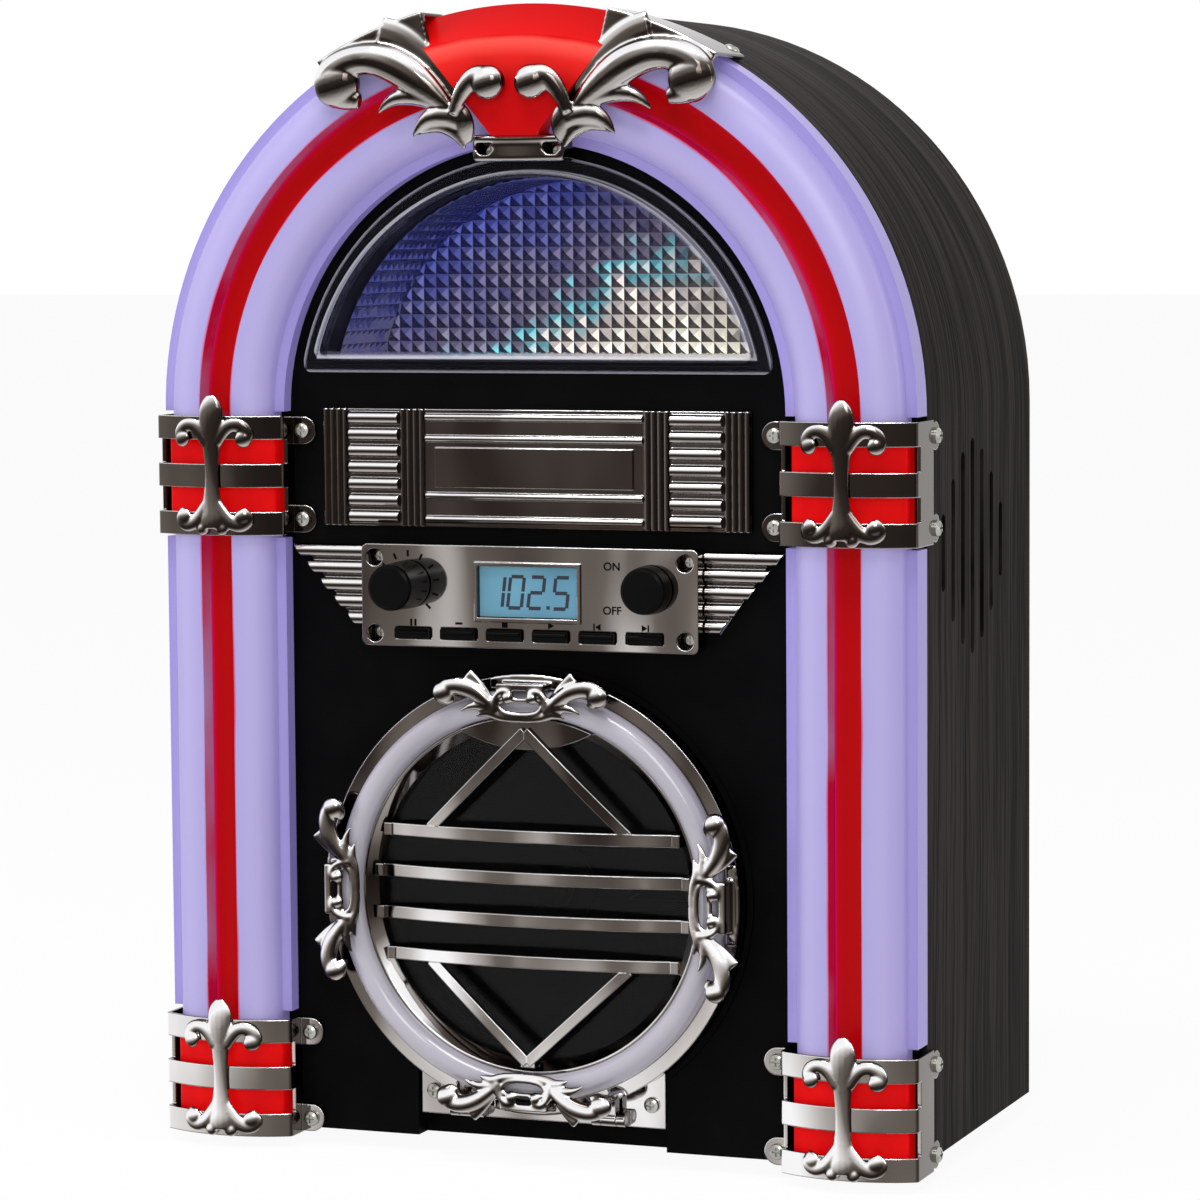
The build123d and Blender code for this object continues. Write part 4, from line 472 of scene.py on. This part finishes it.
# Crest ornament: a bar with two screw wells, and on each side a strut, a
# teardrop curl, two leaves, a big scroll, and a ribbon that goes over the arch.
SCROLL_DEPTH = -18.6
EAR_ANGLE = 61.0
CASE_RADIUS = 136.0
STRAP_TURN = EAR_ANGLE + 6.5
STRAP_HALF = 8.6
STRAP_TOP = CASE_RADIUS + 2.7
BAR_HALF = 16.3
BAR_MIDDLE = 336.9
BAR_TOP = 340.4
WELL_X = 12.0


def strap(turn, half_turn, front, back, inner, outer):
    """Plate bent round the arch; its back edge slants from one side to the other."""
    def lay(u, v, w):
        angle = radians(turn + u * half_turn)
        radius = inner + (outer - inner) * (w + 1) / 2
        edge = back[0] + (back[1] - back[0]) * (u + 1) / 2
        y = front + (edge - front) * (v + 1) / 2
        return (radius * cos(angle), y, ARCH_CENTRE + radius * sin(angle))
    return plate(lay)


crest_parts = [
    vine([(21.0, 349.4, 1.2), (28.6, 355.8, 4.6), (37.0, 362.6, 6.4), (46.0, 367.0, 5.9), (54.5, 367.9, 5.2),
          (62.6, 365.4, 5.8), (67.0, 359.8, 6.4), (62.6, 355.0, 5.6), (55.0, 353.4, 2.6)],
         SCROLL_DEPTH, 0.72),
    bead(63.4, 359.4, 8.3, SCROLL_DEPTH, 0.6),
    vine([(19.4, 351.6, 2.2), (26.0, 359.8, 5.2), (34.2, 368.0, 6.8), (42.4, 373.6, 7.6), (48.4, 375.0, 6.8)],
         -16.4, 0.3),
    vine([(20.0, 349.0, 1.2), (25.5, 352.2, 2.8), (33.0, 355.0, 3.4), (40.0, 355.2, 3.2), (45.4, 353.4, 2.0),
          (48.8, 349.4, 0.4)], -17.8, 0.9),
    vine([(17.8, 345.4, 2.6), (22.6, 348.4, 4.0), (28.6, 348.8, 3.8), (33.0, 346.2, 2.4), (36.2, 341.4, 0.4)],
         -17.8, 0.8),
    vine([(17.8, 337.2, 0.6), (19.6, 341.4, 2.2), (22.6, 344.6, 3.2), (27.8, 345.8, 2.6), (35.0, 342.2, 0.5)],
         -17.0, 0.8),
    vine([(20.4, 348.8, 1.6), (18.6, 353.8, 2.7), (15.4, 359.2, 3.6), (11.0, 361.6, 4.4), (7.2, 359.4, 4.8)],
         -20.4, 0.72),
    bead(7.6, 358.9, 5.9, -20.6, 0.7),
    vine([(19.6, 351.4, 2.4), (17.6, 348.2, 3.8), (16.4, 345.0, 3.8), (17.2, 340.4, 2.4, 3.0)], -19.0, 0.55),
    strap(STRAP_TURN, STRAP_HALF, -15.6, (11.0, 2.5), CASE_RADIUS + 1.2, STRAP_TOP),
    strap(STRAP_TURN, STRAP_HALF, -17.2, (-14.2, -14.2), CASE_RADIUS - 8.0, STRAP_TOP),
]
ear_reach = CASE_RADIUS + 1.15
ear_turn = radians(EAR_ANGLE)
ear_place = (ear_reach * cos(ear_turn), 11.0, ARCH_CENTRE + ear_reach * sin(ear_turn))
bpy.ops.mesh.primitive_cylinder_add(vertices=48, radius=4.7, depth=1.5, location=ear_place,
                                    rotation=(0, radians(90 - EAR_ANGLE), 0))
bpy.ops.object.transform_apply(location=True, rotation=True, scale=True)
crest_parts.append(bpy.context.object)
crest = joined(crest_parts)
shape(crest, "MIRROR", use_mirror_merge=False)

bar = plate(lambda u, v, w: (BAR_HALF * u, -8.4 + 6.1 * v, BAR_MIDDLE + 4.0 * w), 1)
shape(bar, "BEVEL", width=1.2, segments=3)
for x in (WELL_X, -WELL_X):
    bpy.ops.mesh.primitive_cylinder_add(vertices=48, radius=3.3, depth=20, rotation=(radians(90), 0, 0),
                                        location=(x, -16.2, 338.3))
    well = bpy.context.object
    shape(bar, "BOOLEAN", operation="DIFFERENCE", object=well)
    gone(well)
rolled_top = vine([(-15.6, BAR_TOP, 1.5), (-6.0, BAR_TOP, 1.7), (6.0, BAR_TOP, 1.7), (15.6, BAR_TOP, 1.5)],
                  -13.6, 1.0)
crest = joined([crest, bar, rolled_top])
cast(crest, 0.5, 3)
crest_cast = laid(crest, Matrix.Translation((0, PANEL_FACE, FOOT_HEIGHT)))
gone(crest)
placed(crest_cast, "crest_scrolls", chrome, stands_for=["crest_ornament"],
       smooth=60)

# Dome window: one clear moulding with a stepped rim, faint over its pane, with
# painted highlight lines, white and less clear, along the edges of its rim.
WINDOW_RADIUS = 0.0865
WINDOW_FLOOR = 0.2694
clear = Finish("clear_moulding", Roughness=0.03)
clear_spot = clear.add("ShaderNodeSeparateXYZ", [(0, clear.coords)])
from_floor = clear.math("SUBTRACT", clear_spot.outputs["Z"], WINDOW_FLOOR)
inset = clear.math("MINIMUM", clear.math("SUBTRACT", WINDOW_RADIUS, across(clear)), from_floor)
inset = clear.math("MULTIPLY", inset, 100.0)
# Painted highlight: white, less clear lines at the flange's outer edge and at the raised rim's front edge;
# the pane between is a faint dark tint.
clear.colour(clear.ramp(inset, (0.0, tone(200, 200, 214)), (0.07, tone(190, 190, 206)),
                        (0.12, tone(50, 50, 70)), (0.42, tone(46, 46, 66)), (0.48, tone(226, 226, 238)),
                        (0.58, tone(214, 214, 230)), (0.64, tone(90, 90, 120)), (0.75, tone(60, 60, 90))))
pane_alpha_and_painted_highlight = clear.ramp(clear.shaken(inset, clear.noise(60, 2.0), 0.03), (0.0, grey(0.4)), (0.06, grey(0.3)),
                         (0.1, grey(0.09)), (0.44, grey(0.08)), (0.48, grey(0.42)), (0.57, grey(0.3)),
                         (0.63, grey(0.14)), (0.69, grey(0.22)), (0.75, grey(0.03)))
clear.feed(clear.shader.inputs["Alpha"], pane_alpha_and_painted_highlight)
clear.on("dome_window")

# Foil drum behind the window: its back, its arched side and its floor are
# embossed with small pyramids. Painted glints and painted shade light or darken
# each facet by the way it leans, over the foil's colours, and the foil glows with painted light.
CELL = 4.7
DRUM_RADIUS = 78.6
DRUM_FLOOR = 266.4
DRUM_FRONT = 9.4
DRUM_BACK = 48.4
PYRAMID = 0.0011
BACK_COLUMNS = 34
SIDE_COLUMNS = 44
FLOOR_COLUMNS = 32
DEPTH_ROWS = 8


def embossed(columns, rows, lay):
    """Grid of cells raised to pyramids; lay turns (column, row) into a place."""
    bpy.ops.mesh.primitive_grid_add(x_subdivisions=columns, y_subdivisions=rows, size=2)
    sheet = bpy.context.object
    for vertex in sheet.data.vertices:
        column = round((vertex.co.x + 1) / 2 * columns)
        row = round((vertex.co.y + 1) / 2 * rows)
        vertex.co = lay(column, row)
    bpy.ops.object.mode_set(mode="EDIT")
    bpy.ops.mesh.select_all(action="SELECT")
    bpy.ops.mesh.poke(offset=PYRAMID)
    bpy.ops.object.mode_set(mode="OBJECT")
    return sheet


def back_place(column, row):
    x = (column - BACK_COLUMNS // 2) * CELL
    z = DRUM_FLOOR - ARCH_CENTRE + row * CELL
    reach = sqrt(x * x + z * z)
    if reach > DRUM_RADIUS:
        x *= DRUM_RADIUS / reach
        z *= DRUM_RADIUS / reach
    return at(x, DRUM_BACK, ARCH_CENTRE + max(z, DRUM_FLOOR - ARCH_CENTRE))


def side_place(column, row):
    low = atan2(DRUM_FLOOR - ARCH_CENTRE, sqrt(DRUM_RADIUS ** 2 - (DRUM_FLOOR - ARCH_CENTRE) ** 2))
    turn = low + (pi - 2 * low) * column / SIDE_COLUMNS
    y = DRUM_BACK + (DRUM_FRONT - DRUM_BACK) * row / DEPTH_ROWS
    return at(DRUM_RADIUS * cos(turn), y, ARCH_CENTRE + DRUM_RADIUS * sin(turn))


def floor_place(column, row):
    half = sqrt(DRUM_RADIUS ** 2 - (DRUM_FLOOR - ARCH_CENTRE) ** 2)
    y = DRUM_FRONT + (DRUM_BACK - DRUM_FRONT) * row / DEPTH_ROWS
    return at(-half + 2 * half * column / FLOOR_COLUMNS, y, DRUM_FLOOR)


foil_piece = joined([embossed(BACK_COLUMNS, 13, back_place), embossed(SIDE_COLUMNS, DEPTH_ROWS, side_place),
                     embossed(FLOOR_COLUMNS, DEPTH_ROWS, floor_place)])
foil = Finish("embossed_foil", Metallic=0.9, Emission_Strength=0.5)
facet = foil.add("ShaderNodeSeparateXYZ", [(0, foil.add("ShaderNodeNewGeometry").outputs["True Normal"])])
spot = foil.add("ShaderNodeSeparateXYZ", [(0, foil.coords)])
above_floor = (0.0, 0.0, -0.2739)
floor_up = foil.add("ShaderNodeVectorMath", [(0, foil.coords), (1, above_floor)], operation="ADD")
in_cells = foil.add("ShaderNodeVectorMath", [(0, floor_up.outputs[0]), ("Scale", 1000 / CELL)],
                    operation="SCALE")
whole_cell = foil.add("ShaderNodeVectorMath", [(0, in_cells.outputs[0])], operation="FLOOR")
chance = foil.add("ShaderNodeTexWhiteNoise", [("Vector", whole_cell.outputs[0])]).outputs["Value"]
# Painted glints and shade: a facet's tone follows the way it leans, and random cells flash.
lean = foil.math("MULTIPLY_ADD", facet.outputs["X"], 0.9, foil.math("MULTIPLY", facet.outputs["Z"], 1.3))
warm_side = foil.math("MULTIPLY_ADD", spot.outputs["X"], 5.6, 0.46)
warm_low = foil.math("MULTIPLY_ADD", foil.math("SUBTRACT", 0.306, spot.outputs["Z"]), 11.0, warm_side)
area = foil.shaken(foil.shaken(warm_low, foil.noise(30, 3.0), 0.5), chance, 0.16)
base = foil.ramp(area, (0.0, tone(66, 78, 170)), (0.22, tone(92, 96, 160)), (0.42, tone(112, 106, 134)),
                 (0.54, tone(134, 128, 150)), (0.62, tone(112, 196, 208)), (0.74, tone(226, 214, 210)),
                 (1.0, tone(255, 250, 234)))
painted_dark_facet = foil.ramp(area, (0.0, tone(20, 22, 70)), (0.3, tone(32, 30, 62)), (0.55, tone(40, 36, 48)),
                 (0.8, tone(38, 33, 37)), (1.0, tone(32, 28, 32)))
pick = foil.shaken(foil.math("ADD", lean, 0.5), chance, 0.34)
painted_glint = foil.ramp(pick, (0.3, grey(0.04)), (0.5, grey(0.2)), (0.72, grey(0.42)), (0.92, grey(0.95)))
foil_tone_and_painted_light = foil.mixed(painted_glint, painted_dark_facet, base)
foil.colour(foil_tone_and_painted_light)
# The foil glows with the same painted glints, though it is no lamp.
foil.feed(foil.shader.inputs["Emission Color"], foil_tone_and_painted_light)
foil.roughness(foil.noise(300, 2.0), 0.16, 0.3)
placed(foil_piece, "foil_drum", foil, stands_for=["dome_drum"], smooth=1)

# Title plate, fins and control panel: chromed mouldings on the front panel's
# face. The plate and the fins are ribbed, and the control panel is flat.
# Their colour is painted reflection, as on the clips.
panel_chrome = chrome_with_painted_reflection("panel_chrome", 0.46, 0.07)
panel_chrome.on("title_plate", "wing_trims")
bezel_chrome = chrome_with_painted_reflection("bezel_chrome", 0.53, 0.3)
bezel_chrome.on("control_bezel")

# Controls: black glossy knobs and bar buttons, the switches behind them, and
# the steel parts and circuit boards of the player.
gloss = mottled("gloss_black", tone(4, 4, 5), tone(8, 8, 9), 60, (0.2, 0.28), Specular_IOR_Level=0.05)
gloss.on("volume_knob", "light_knob", *[f"button_{number}" for number in range(1, 7)])
steel = mottled("plain_steel", tone(150, 150, 152), tone(172, 172, 174), 120, (0.28, 0.4), Metallic=1.0)
steel.on("volume_pot", "light_switch", "mech_chassis", "guide_rods", "spindle_motor", "sled_motor",
         "hinge_pins", "speaker_frames", "power_supply")
green = mottled("circuit_board", tone(14, 60, 36), tone(24, 84, 52), 260, (0.3, 0.45))
green.on("control_board", "main_board")

# Display: a pale blue lit window with dark figures, each made of up to seven
# leaning strokes.
lit_blue = Finish("display_window", Roughness=0.2, Emission_Strength=0.3, Specular_IOR_Level=0.2)
drift_blue = lit_blue.ramp(lit_blue.noise(30, 1.0), (0.3, tone(70, 112, 136)), (0.7, tone(92, 138, 158)))
lit_blue.colour(drift_blue)
lit_blue.feed(lit_blue.shader.inputs["Emission Color"], drift_blue)
lit_blue.on("display_glass")

GLASS_FRONT = -7.56
FIGURE_HEIGHT = 10.6
FIGURE_WIDTH = 5.0
FIGURE_MIDDLE = 188.2
FIGURE_LEAN = 0.12
STROKE_HALF = 0.6
STROKES = {"a": (0, 2), "b": (1, 1), "c": (1, -1), "d": (0, -2), "e": (-1, -1), "f": (-1, 1), "g": (0, 0)}
FIGURES = {"1": "bc", "0": "abcdef", "2": "abged", "5": "afgcd"}


def mark(corners, front):
    """Thin printed mark that faces forward, from its corners in x and z."""
    bpy.ops.mesh.primitive_circle_add(vertices=len(corners), radius=1, fill_type="NGON")
    made = bpy.context.object
    for vertex, (x, z) in zip(made.data.vertices, corners):
        vertex.co = at(x, front, z)
    return made


def figure_stroke(middle, column, row):
    """One stroke of a leaning figure; even rows lie level, odd ones stand."""
    x = middle + column * FIGURE_WIDTH / 2
    z = row * FIGURE_HEIGHT / 4
    half_wide, half_high = STROKE_HALF, FIGURE_HEIGHT / 4 - 0.3
    if row % 2 == 0:
        half_wide, half_high = FIGURE_WIDTH / 2 - 0.35, STROKE_HALF
    corners = []
    for across_way, up_way in ((-1, -1), (1, -1), (1, 1), (-1, 1)):
        rise = z + up_way * half_high
        corners.append((x + across_way * half_wide + rise * FIGURE_LEAN, FIGURE_MIDDLE + rise))
    return mark(corners, GLASS_FRONT)


strokes = []
for middle, figure in ((-11.6, "1"), (-4.6, "0"), (2.8, "2"), (11.8, "5")):
    for stroke in FIGURES[figure]:
        strokes.append(figure_stroke(middle, *STROKES[stroke]))
strokes.append(mark([(6.4, 182.6), (7.6, 182.6), (7.6, 183.8), (6.4, 183.8)], GLASS_FRONT))
ink = mottled("display_ink", tone(14, 22, 40), tone(20, 30, 52), 200, (0.3, 0.4))
placed(joined(strokes), "display_figures", ink)

# Printed marks on the control panel: a scale round the left knob, ON and OFF by
# the right one, and a plain sign over each button.
PANEL_FRONT = -8.56
KNOB_X = 43.8
KNOB_Z = 190.2
SIGN_Z = 177.2
SIGN_SCALE = 1.3
BUTTON_PITCH = 16.8
marks = []
for step in range(11):
    turn = radians(225 - 27 * step)
    corners = []
    for reach, side in ((9.4, 0.4), (9.4, -0.4), (11.6, -0.4), (11.6, 0.4)):
        corners.append((-KNOB_X + reach * cos(turn) - side * sin(turn),
                        KNOB_Z + reach * sin(turn) + side * cos(turn)))
    marks.append(mark(corners[::-1], PANEL_FRONT))
signs = [
    [[(-0.9, -0.9), (-0.3, -0.9), (-0.3, 0.9), (-0.9, 0.9)],
     [(0.3, -0.9), (0.9, -0.9), (0.9, 0.9), (0.3, 0.9)]],
    [[(-1.0, -0.3), (1.0, -0.3), (1.0, 0.3), (-1.0, 0.3)]],
    [[(-0.8, -0.8), (0.8, -0.8), (0.8, 0.8), (-0.8, 0.8)]],
    [[(-0.8, -0.9), (0.9, 0.0), (-0.8, 0.9)]],
    [[(0.8, 0.9), (-0.7, 0.0), (0.8, -0.9)], [(-1.2, -0.9), (-0.8, -0.9), (-0.8, 0.9), (-1.2, 0.9)]],
    [[(-0.8, -0.9), (0.7, 0.0), (-0.8, 0.9)], [(0.8, -0.9), (1.2, -0.9), (1.2, 0.9), (0.8, 0.9)]],
]
for number, sign in enumerate(signs):
    middle = (number - 2.5) * BUTTON_PITCH
    for corners in sign:
        outline = [(middle + SIGN_SCALE * x, SIGN_Z + SIGN_SCALE * z) for x, z in corners]
        marks.append(mark(outline, PANEL_FRONT))
for word, z in (("ON", 196.4), ("OFF", 181.6)):
    bpy.ops.object.text_add(rotation=(radians(90), 0, 0))
    words = bpy.context.object
    words.data.body = word
    words.data.size = 0.0038
    words.data.offset = 0.00008
    words.data.align_x = "CENTER"
    words.location = at(KNOB_X - 13.4, PANEL_FRONT, z)
    bpy.ops.object.convert(target="MESH")
    bpy.ops.object.transform_apply(location=True, rotation=True, scale=True)
    marks.append(bpy.context.object)
print_black = mottled("printed_black", tone(5, 5, 5), tone(9, 9, 9), 300, (0.5, 0.6),
                      Specular_IOR_Level=0.03)
placed(joined(marks), "panel_marks", print_black)

# Door: chromed ring with a milky half-round ring in it, a chromed grille with
# four bowed bars and struts, a clear pane, and four cast ornaments.
# The door's chrome colour is painted reflection, as on the clips.
door_chrome = chrome_with_painted_reflection("door_chrome", 0.47, 0.24)
door_chrome.on("door_ring", "door_grille", "door_bars", "hinge_plate")
milky = Finish("milky_ring", Roughness=0.22, Coat_Weight=0.4, Coat_Roughness=0.06, Emission_Strength=0.02)
milk = milky.ramp(milky.noise(22, 2.0), (0.3, tone(158, 154, 164)), (0.7, tone(174, 170, 181)))
milky.colour(milk)
milky.feed(milky.shader.inputs["Emission Color"], milk)
milky.on("door_light_ring")
pane = Finish("door_pane", Roughness=0.04, Specular_IOR_Level=0.3)
pane.colour(pane.ramp(pane.noise(20, 2.0), (0.3, tone(9, 9, 10)), (0.7, tone(15, 15, 17))))
pane.shader.inputs["Alpha"].default_value = 0.3
pane.on("door_window")

# Door ornaments: one scrolled casting, drawn for the top of the door, in four
# copies; each has a plain petal behind it that reaches past the ring's edge.
DOOR_CENTRE = 85.3
DOOR_SCROLL_DEPTH = -16.2
PETAL_HALF = 13.7
PETAL_RADIUS = 66.0
PETAL_CENTRE = 9.5
PETAL_FOOT = 70.2
scroll_parts = [vine([(-6.0, 62.2, 1.1), (6.0, 62.2, 1.1), (8.6, 65.8, 1.0), (8.2, 67.2, 0.9),
                      (-8.2, 67.2, 0.9), (-8.6, 65.8, 1.0)], DOOR_SCROLL_DEPTH, 0.9, closed=True)]
for side in (1, -1):
    scroll_parts += [
        vine([(0.0, 60.9, 1.3), (side * 7.6, 60.9, 1.5), (side * 10.4, 63.6, 2.3), (side * 13.0, 62.6, 1.7),
              (side * 16.4, 61.4, 0.3)], DOOR_SCROLL_DEPTH, 0.6),
        vine([(side * 9.6, 63.6, 1.5), (side * 9.4, 67.4, 1.3), (side * 7.4, 70.0, 1.3),
              (side * 4.6, 70.4, 1.3), (side * 2.9, 68.4, 1.4), (side * 4.0, 66.9, 1.2)],
             DOOR_SCROLL_DEPTH, 0.9),
        bead(side * 4.4, 67.9, 2.0, DOOR_SCROLL_DEPTH, 0.9),
        vine([(side * 10.0, 64.6, 1.6), (side * 15.4, 69.4, 2.9), (side * 20.6, 71.7, 3.2),
              (side * 26.0, 71.8, 3.0), (side * 29.6, 69.0, 3.0), (side * 26.4, 66.0, 2.2),
              (side * 24.2, 67.2, 1.0)], DOOR_SCROLL_DEPTH, 0.7),
        bead(side * 28.0, 69.2, 3.9, DOOR_SCROLL_DEPTH, 0.7),
        vine([(side * 9.6, 65.4, 1.2), (side * 13.2, 69.2, 2.4), (side * 17.0, 73.2, 2.8),
              (side * 19.6, 75.4, 2.6)], DOOR_SCROLL_DEPTH + 0.6, 0.45),
        vine([(side * 9.4, 64.2, 1.6), (side * 14.4, 65.4, 1.9), (side * 18.6, 65.4, 1.5),
              (side * 21.8, 62.6, 0.3)], DOOR_SCROLL_DEPTH, 0.7),
    ]
scroll_parts.append(plate(lambda u, v, w: (8.8 * u, -12.4 + 4.4 * v, 71.6 + 1.1 * w), 2))


def petal_corner(u, v, w):
    x = PETAL_HALF * u
    top = PETAL_CENTRE + sqrt(PETAL_RADIUS ** 2 - x ** 2)
    return (x, -8.85 + 0.8 * v, PETAL_FOOT + (top - PETAL_FOOT) * (w + 1) / 2)


scroll_parts.append(plate(petal_corner))
door_scroll = joined(scroll_parts)
cast(door_scroll, 0.42)
door_scrolls = []
to_door = Matrix.Translation((0, PANEL_FACE, DOOR_CENTRE + FOOT_HEIGHT))
for turn in (0, 90, 180, 270):
    door_scrolls.append(laid(door_scroll, to_door @ Matrix.Rotation(radians(turn), 4, "Y")))
gone(door_scroll)
placed(joined(door_scrolls), "door_castings", door_chrome, body="door",
       stands_for=["door_scrolls"], smooth=60)

# Drive gears and latch: small moulded parts in pale low-friction plastic,
# behind the disc well and above the door.
acetal = mottled("acetal", tone(196, 192, 180), tone(212, 208, 198), 150, (0.35, 0.5))
acetal.on("sled_drive_gear", "sled_motor_pinion", "latch_housing", "latch_plunger")

# Loudspeaker cones: pressed black pulp, one behind the slots of each side. The
# rear sockets are of the same glossy black as the knobs.
pulp = mottled("speaker_pulp", tone(20, 20, 20), tone(36, 35, 34), 900, (0.8, 0.95), 0.0002)
pulp.on("right_speaker_cone", "left_speaker_cone")
gloss.on("rear_fittings")

# Screws: zinc-plated steel with a cross recess, on the clips, the panel, the
# hinge, the crest, the rear cover and inside.
zinc = mottled("zinc_plate", tone(150, 150, 146), tone(190, 188, 180), 400, (0.18, 0.34), Metallic=1.0)
zinc.on("trim_screws", "board_screws")

# Floor, lamps and camera: a pale floor and a white room, four soft lamps, and
# the camera at the photograph's angle.
bpy.ops.object.select_all(action="DESELECT")
bpy.ops.mesh.primitive_plane_add(size=24, location=(0, 4, 0))
floor = bpy.context.object
floor.name = "floor"
ground = Finish("pale_floor", Roughness=0.9)
ground.colour(ground.ramp(ground.noise(2, 2.0), (0.3, grey(0.86)), (0.7, grey(0.9))))
path = ground.add("ShaderNodeLightPath")
seen = ground.math("MAXIMUM", path.outputs["Is Camera Ray"],
                   ground.math("MAXIMUM", path.outputs["Is Glossy Ray"], path.outputs["Is Transmission Ray"]))
white = ground.add("ShaderNodeEmission", [("Color", grey(1)), ("Strength", 1.0)])
blend = ground.add("ShaderNodeMixShader", [(0, ground.math("MULTIPLY", seen, 0.94)),
                                           (1, ground.shader.outputs[0]), (2, white.outputs[0])])
ground.feed(ground.tree.nodes["Material Output"].inputs["Surface"], blend.outputs[0])
floor.data.materials.append(ground.material)

world = bpy.data.worlds.new("studio")
bpy.context.scene.world = world
world.use_nodes = True
sky = world.node_tree
sky.nodes.clear()
ray = sky.nodes.new("ShaderNodeLightPath")
direct = sky.nodes.new("ShaderNodeMath")
direct.operation = "MAXIMUM"
in_sight = sky.nodes.new("ShaderNodeMath")
in_sight.operation = "MAXIMUM"
sky.links.new(ray.outputs["Is Camera Ray"], direct.inputs[0])
sky.links.new(ray.outputs["Is Glossy Ray"], direct.inputs[1])
sky.links.new(direct.outputs[0], in_sight.inputs[0])
sky.links.new(ray.outputs["Is Transmission Ray"], in_sight.inputs[1])
strength = sky.nodes.new("ShaderNodeMapRange")
strength.inputs["To Min"].default_value = 0.3
strength.inputs["To Max"].default_value = 1.0
sky.links.new(in_sight.outputs[0], strength.inputs["Value"])
backdrop = sky.nodes.new("ShaderNodeBackground")
backdrop.inputs["Color"].default_value = grey(1)
sky.links.new(strength.outputs[0], backdrop.inputs["Strength"])
output = sky.nodes.new("ShaderNodeOutputWorld")
sky.links.new(backdrop.outputs[0], output.inputs["Surface"])
AIM = (0, 0, 0.2)


def softbox(name, place, width, height, power, mirrored=True):
    """Soft rectangular lamp turned to the middle; chrome shows it unless mirrored is off."""
    lamp = bpy.data.lights.new(name, "AREA")
    lamp.shape = "RECTANGLE"
    lamp.size = width
    lamp.size_y = height
    lamp.energy = power
    holder = bpy.data.objects.new(name, lamp)
    bpy.context.scene.collection.objects.link(holder)
    turn = (Vector(AIM) - Vector(place)).to_track_quat("-Z", "Y")
    holder.matrix_world = Matrix.Translation(Vector(place)) @ turn.to_matrix().to_4x4()
    holder.visible_glossy = mirrored


softbox("key", (0.7, -1.9, 1.2), 0.7, 0.9, 10)
softbox("left_strip", (-1.5, -0.9, 0.5), 0.25, 1.5, 14, mirrored=False)
softbox("right_strip", (1.7, -0.1, 0.6), 0.2, 1.4, 4)
softbox("top", (0.0, -0.7, 1.7), 1.3, 0.45, 20)

CAMERA_PLACE = (553.345, -1386.576, 313.895)
CAMERA_AZIMUTH = 20.936
CAMERA_ELEVATION = 4.938
CAMERA_ROLL = -0.4215
view = bpy.data.cameras.new("camera")
view.lens = 132.674
view.sensor_width = 36
view.clip_start = 0.05
camera = bpy.data.objects.new("camera", view)
bpy.context.scene.collection.objects.link(camera)
aimed = Matrix.Rotation(radians(CAMERA_AZIMUTH), 4, "Z")
aimed = aimed @ Matrix.Rotation(radians(90 - CAMERA_ELEVATION), 4, "X")
aimed = aimed @ Matrix.Rotation(radians(CAMERA_ROLL), 4, "Z")
camera.matrix_world = Matrix.Translation(at(*CAMERA_PLACE)) @ aimed
bpy.context.scene.camera = camera
bpy.context.scene.view_settings.view_transform = "Standard"
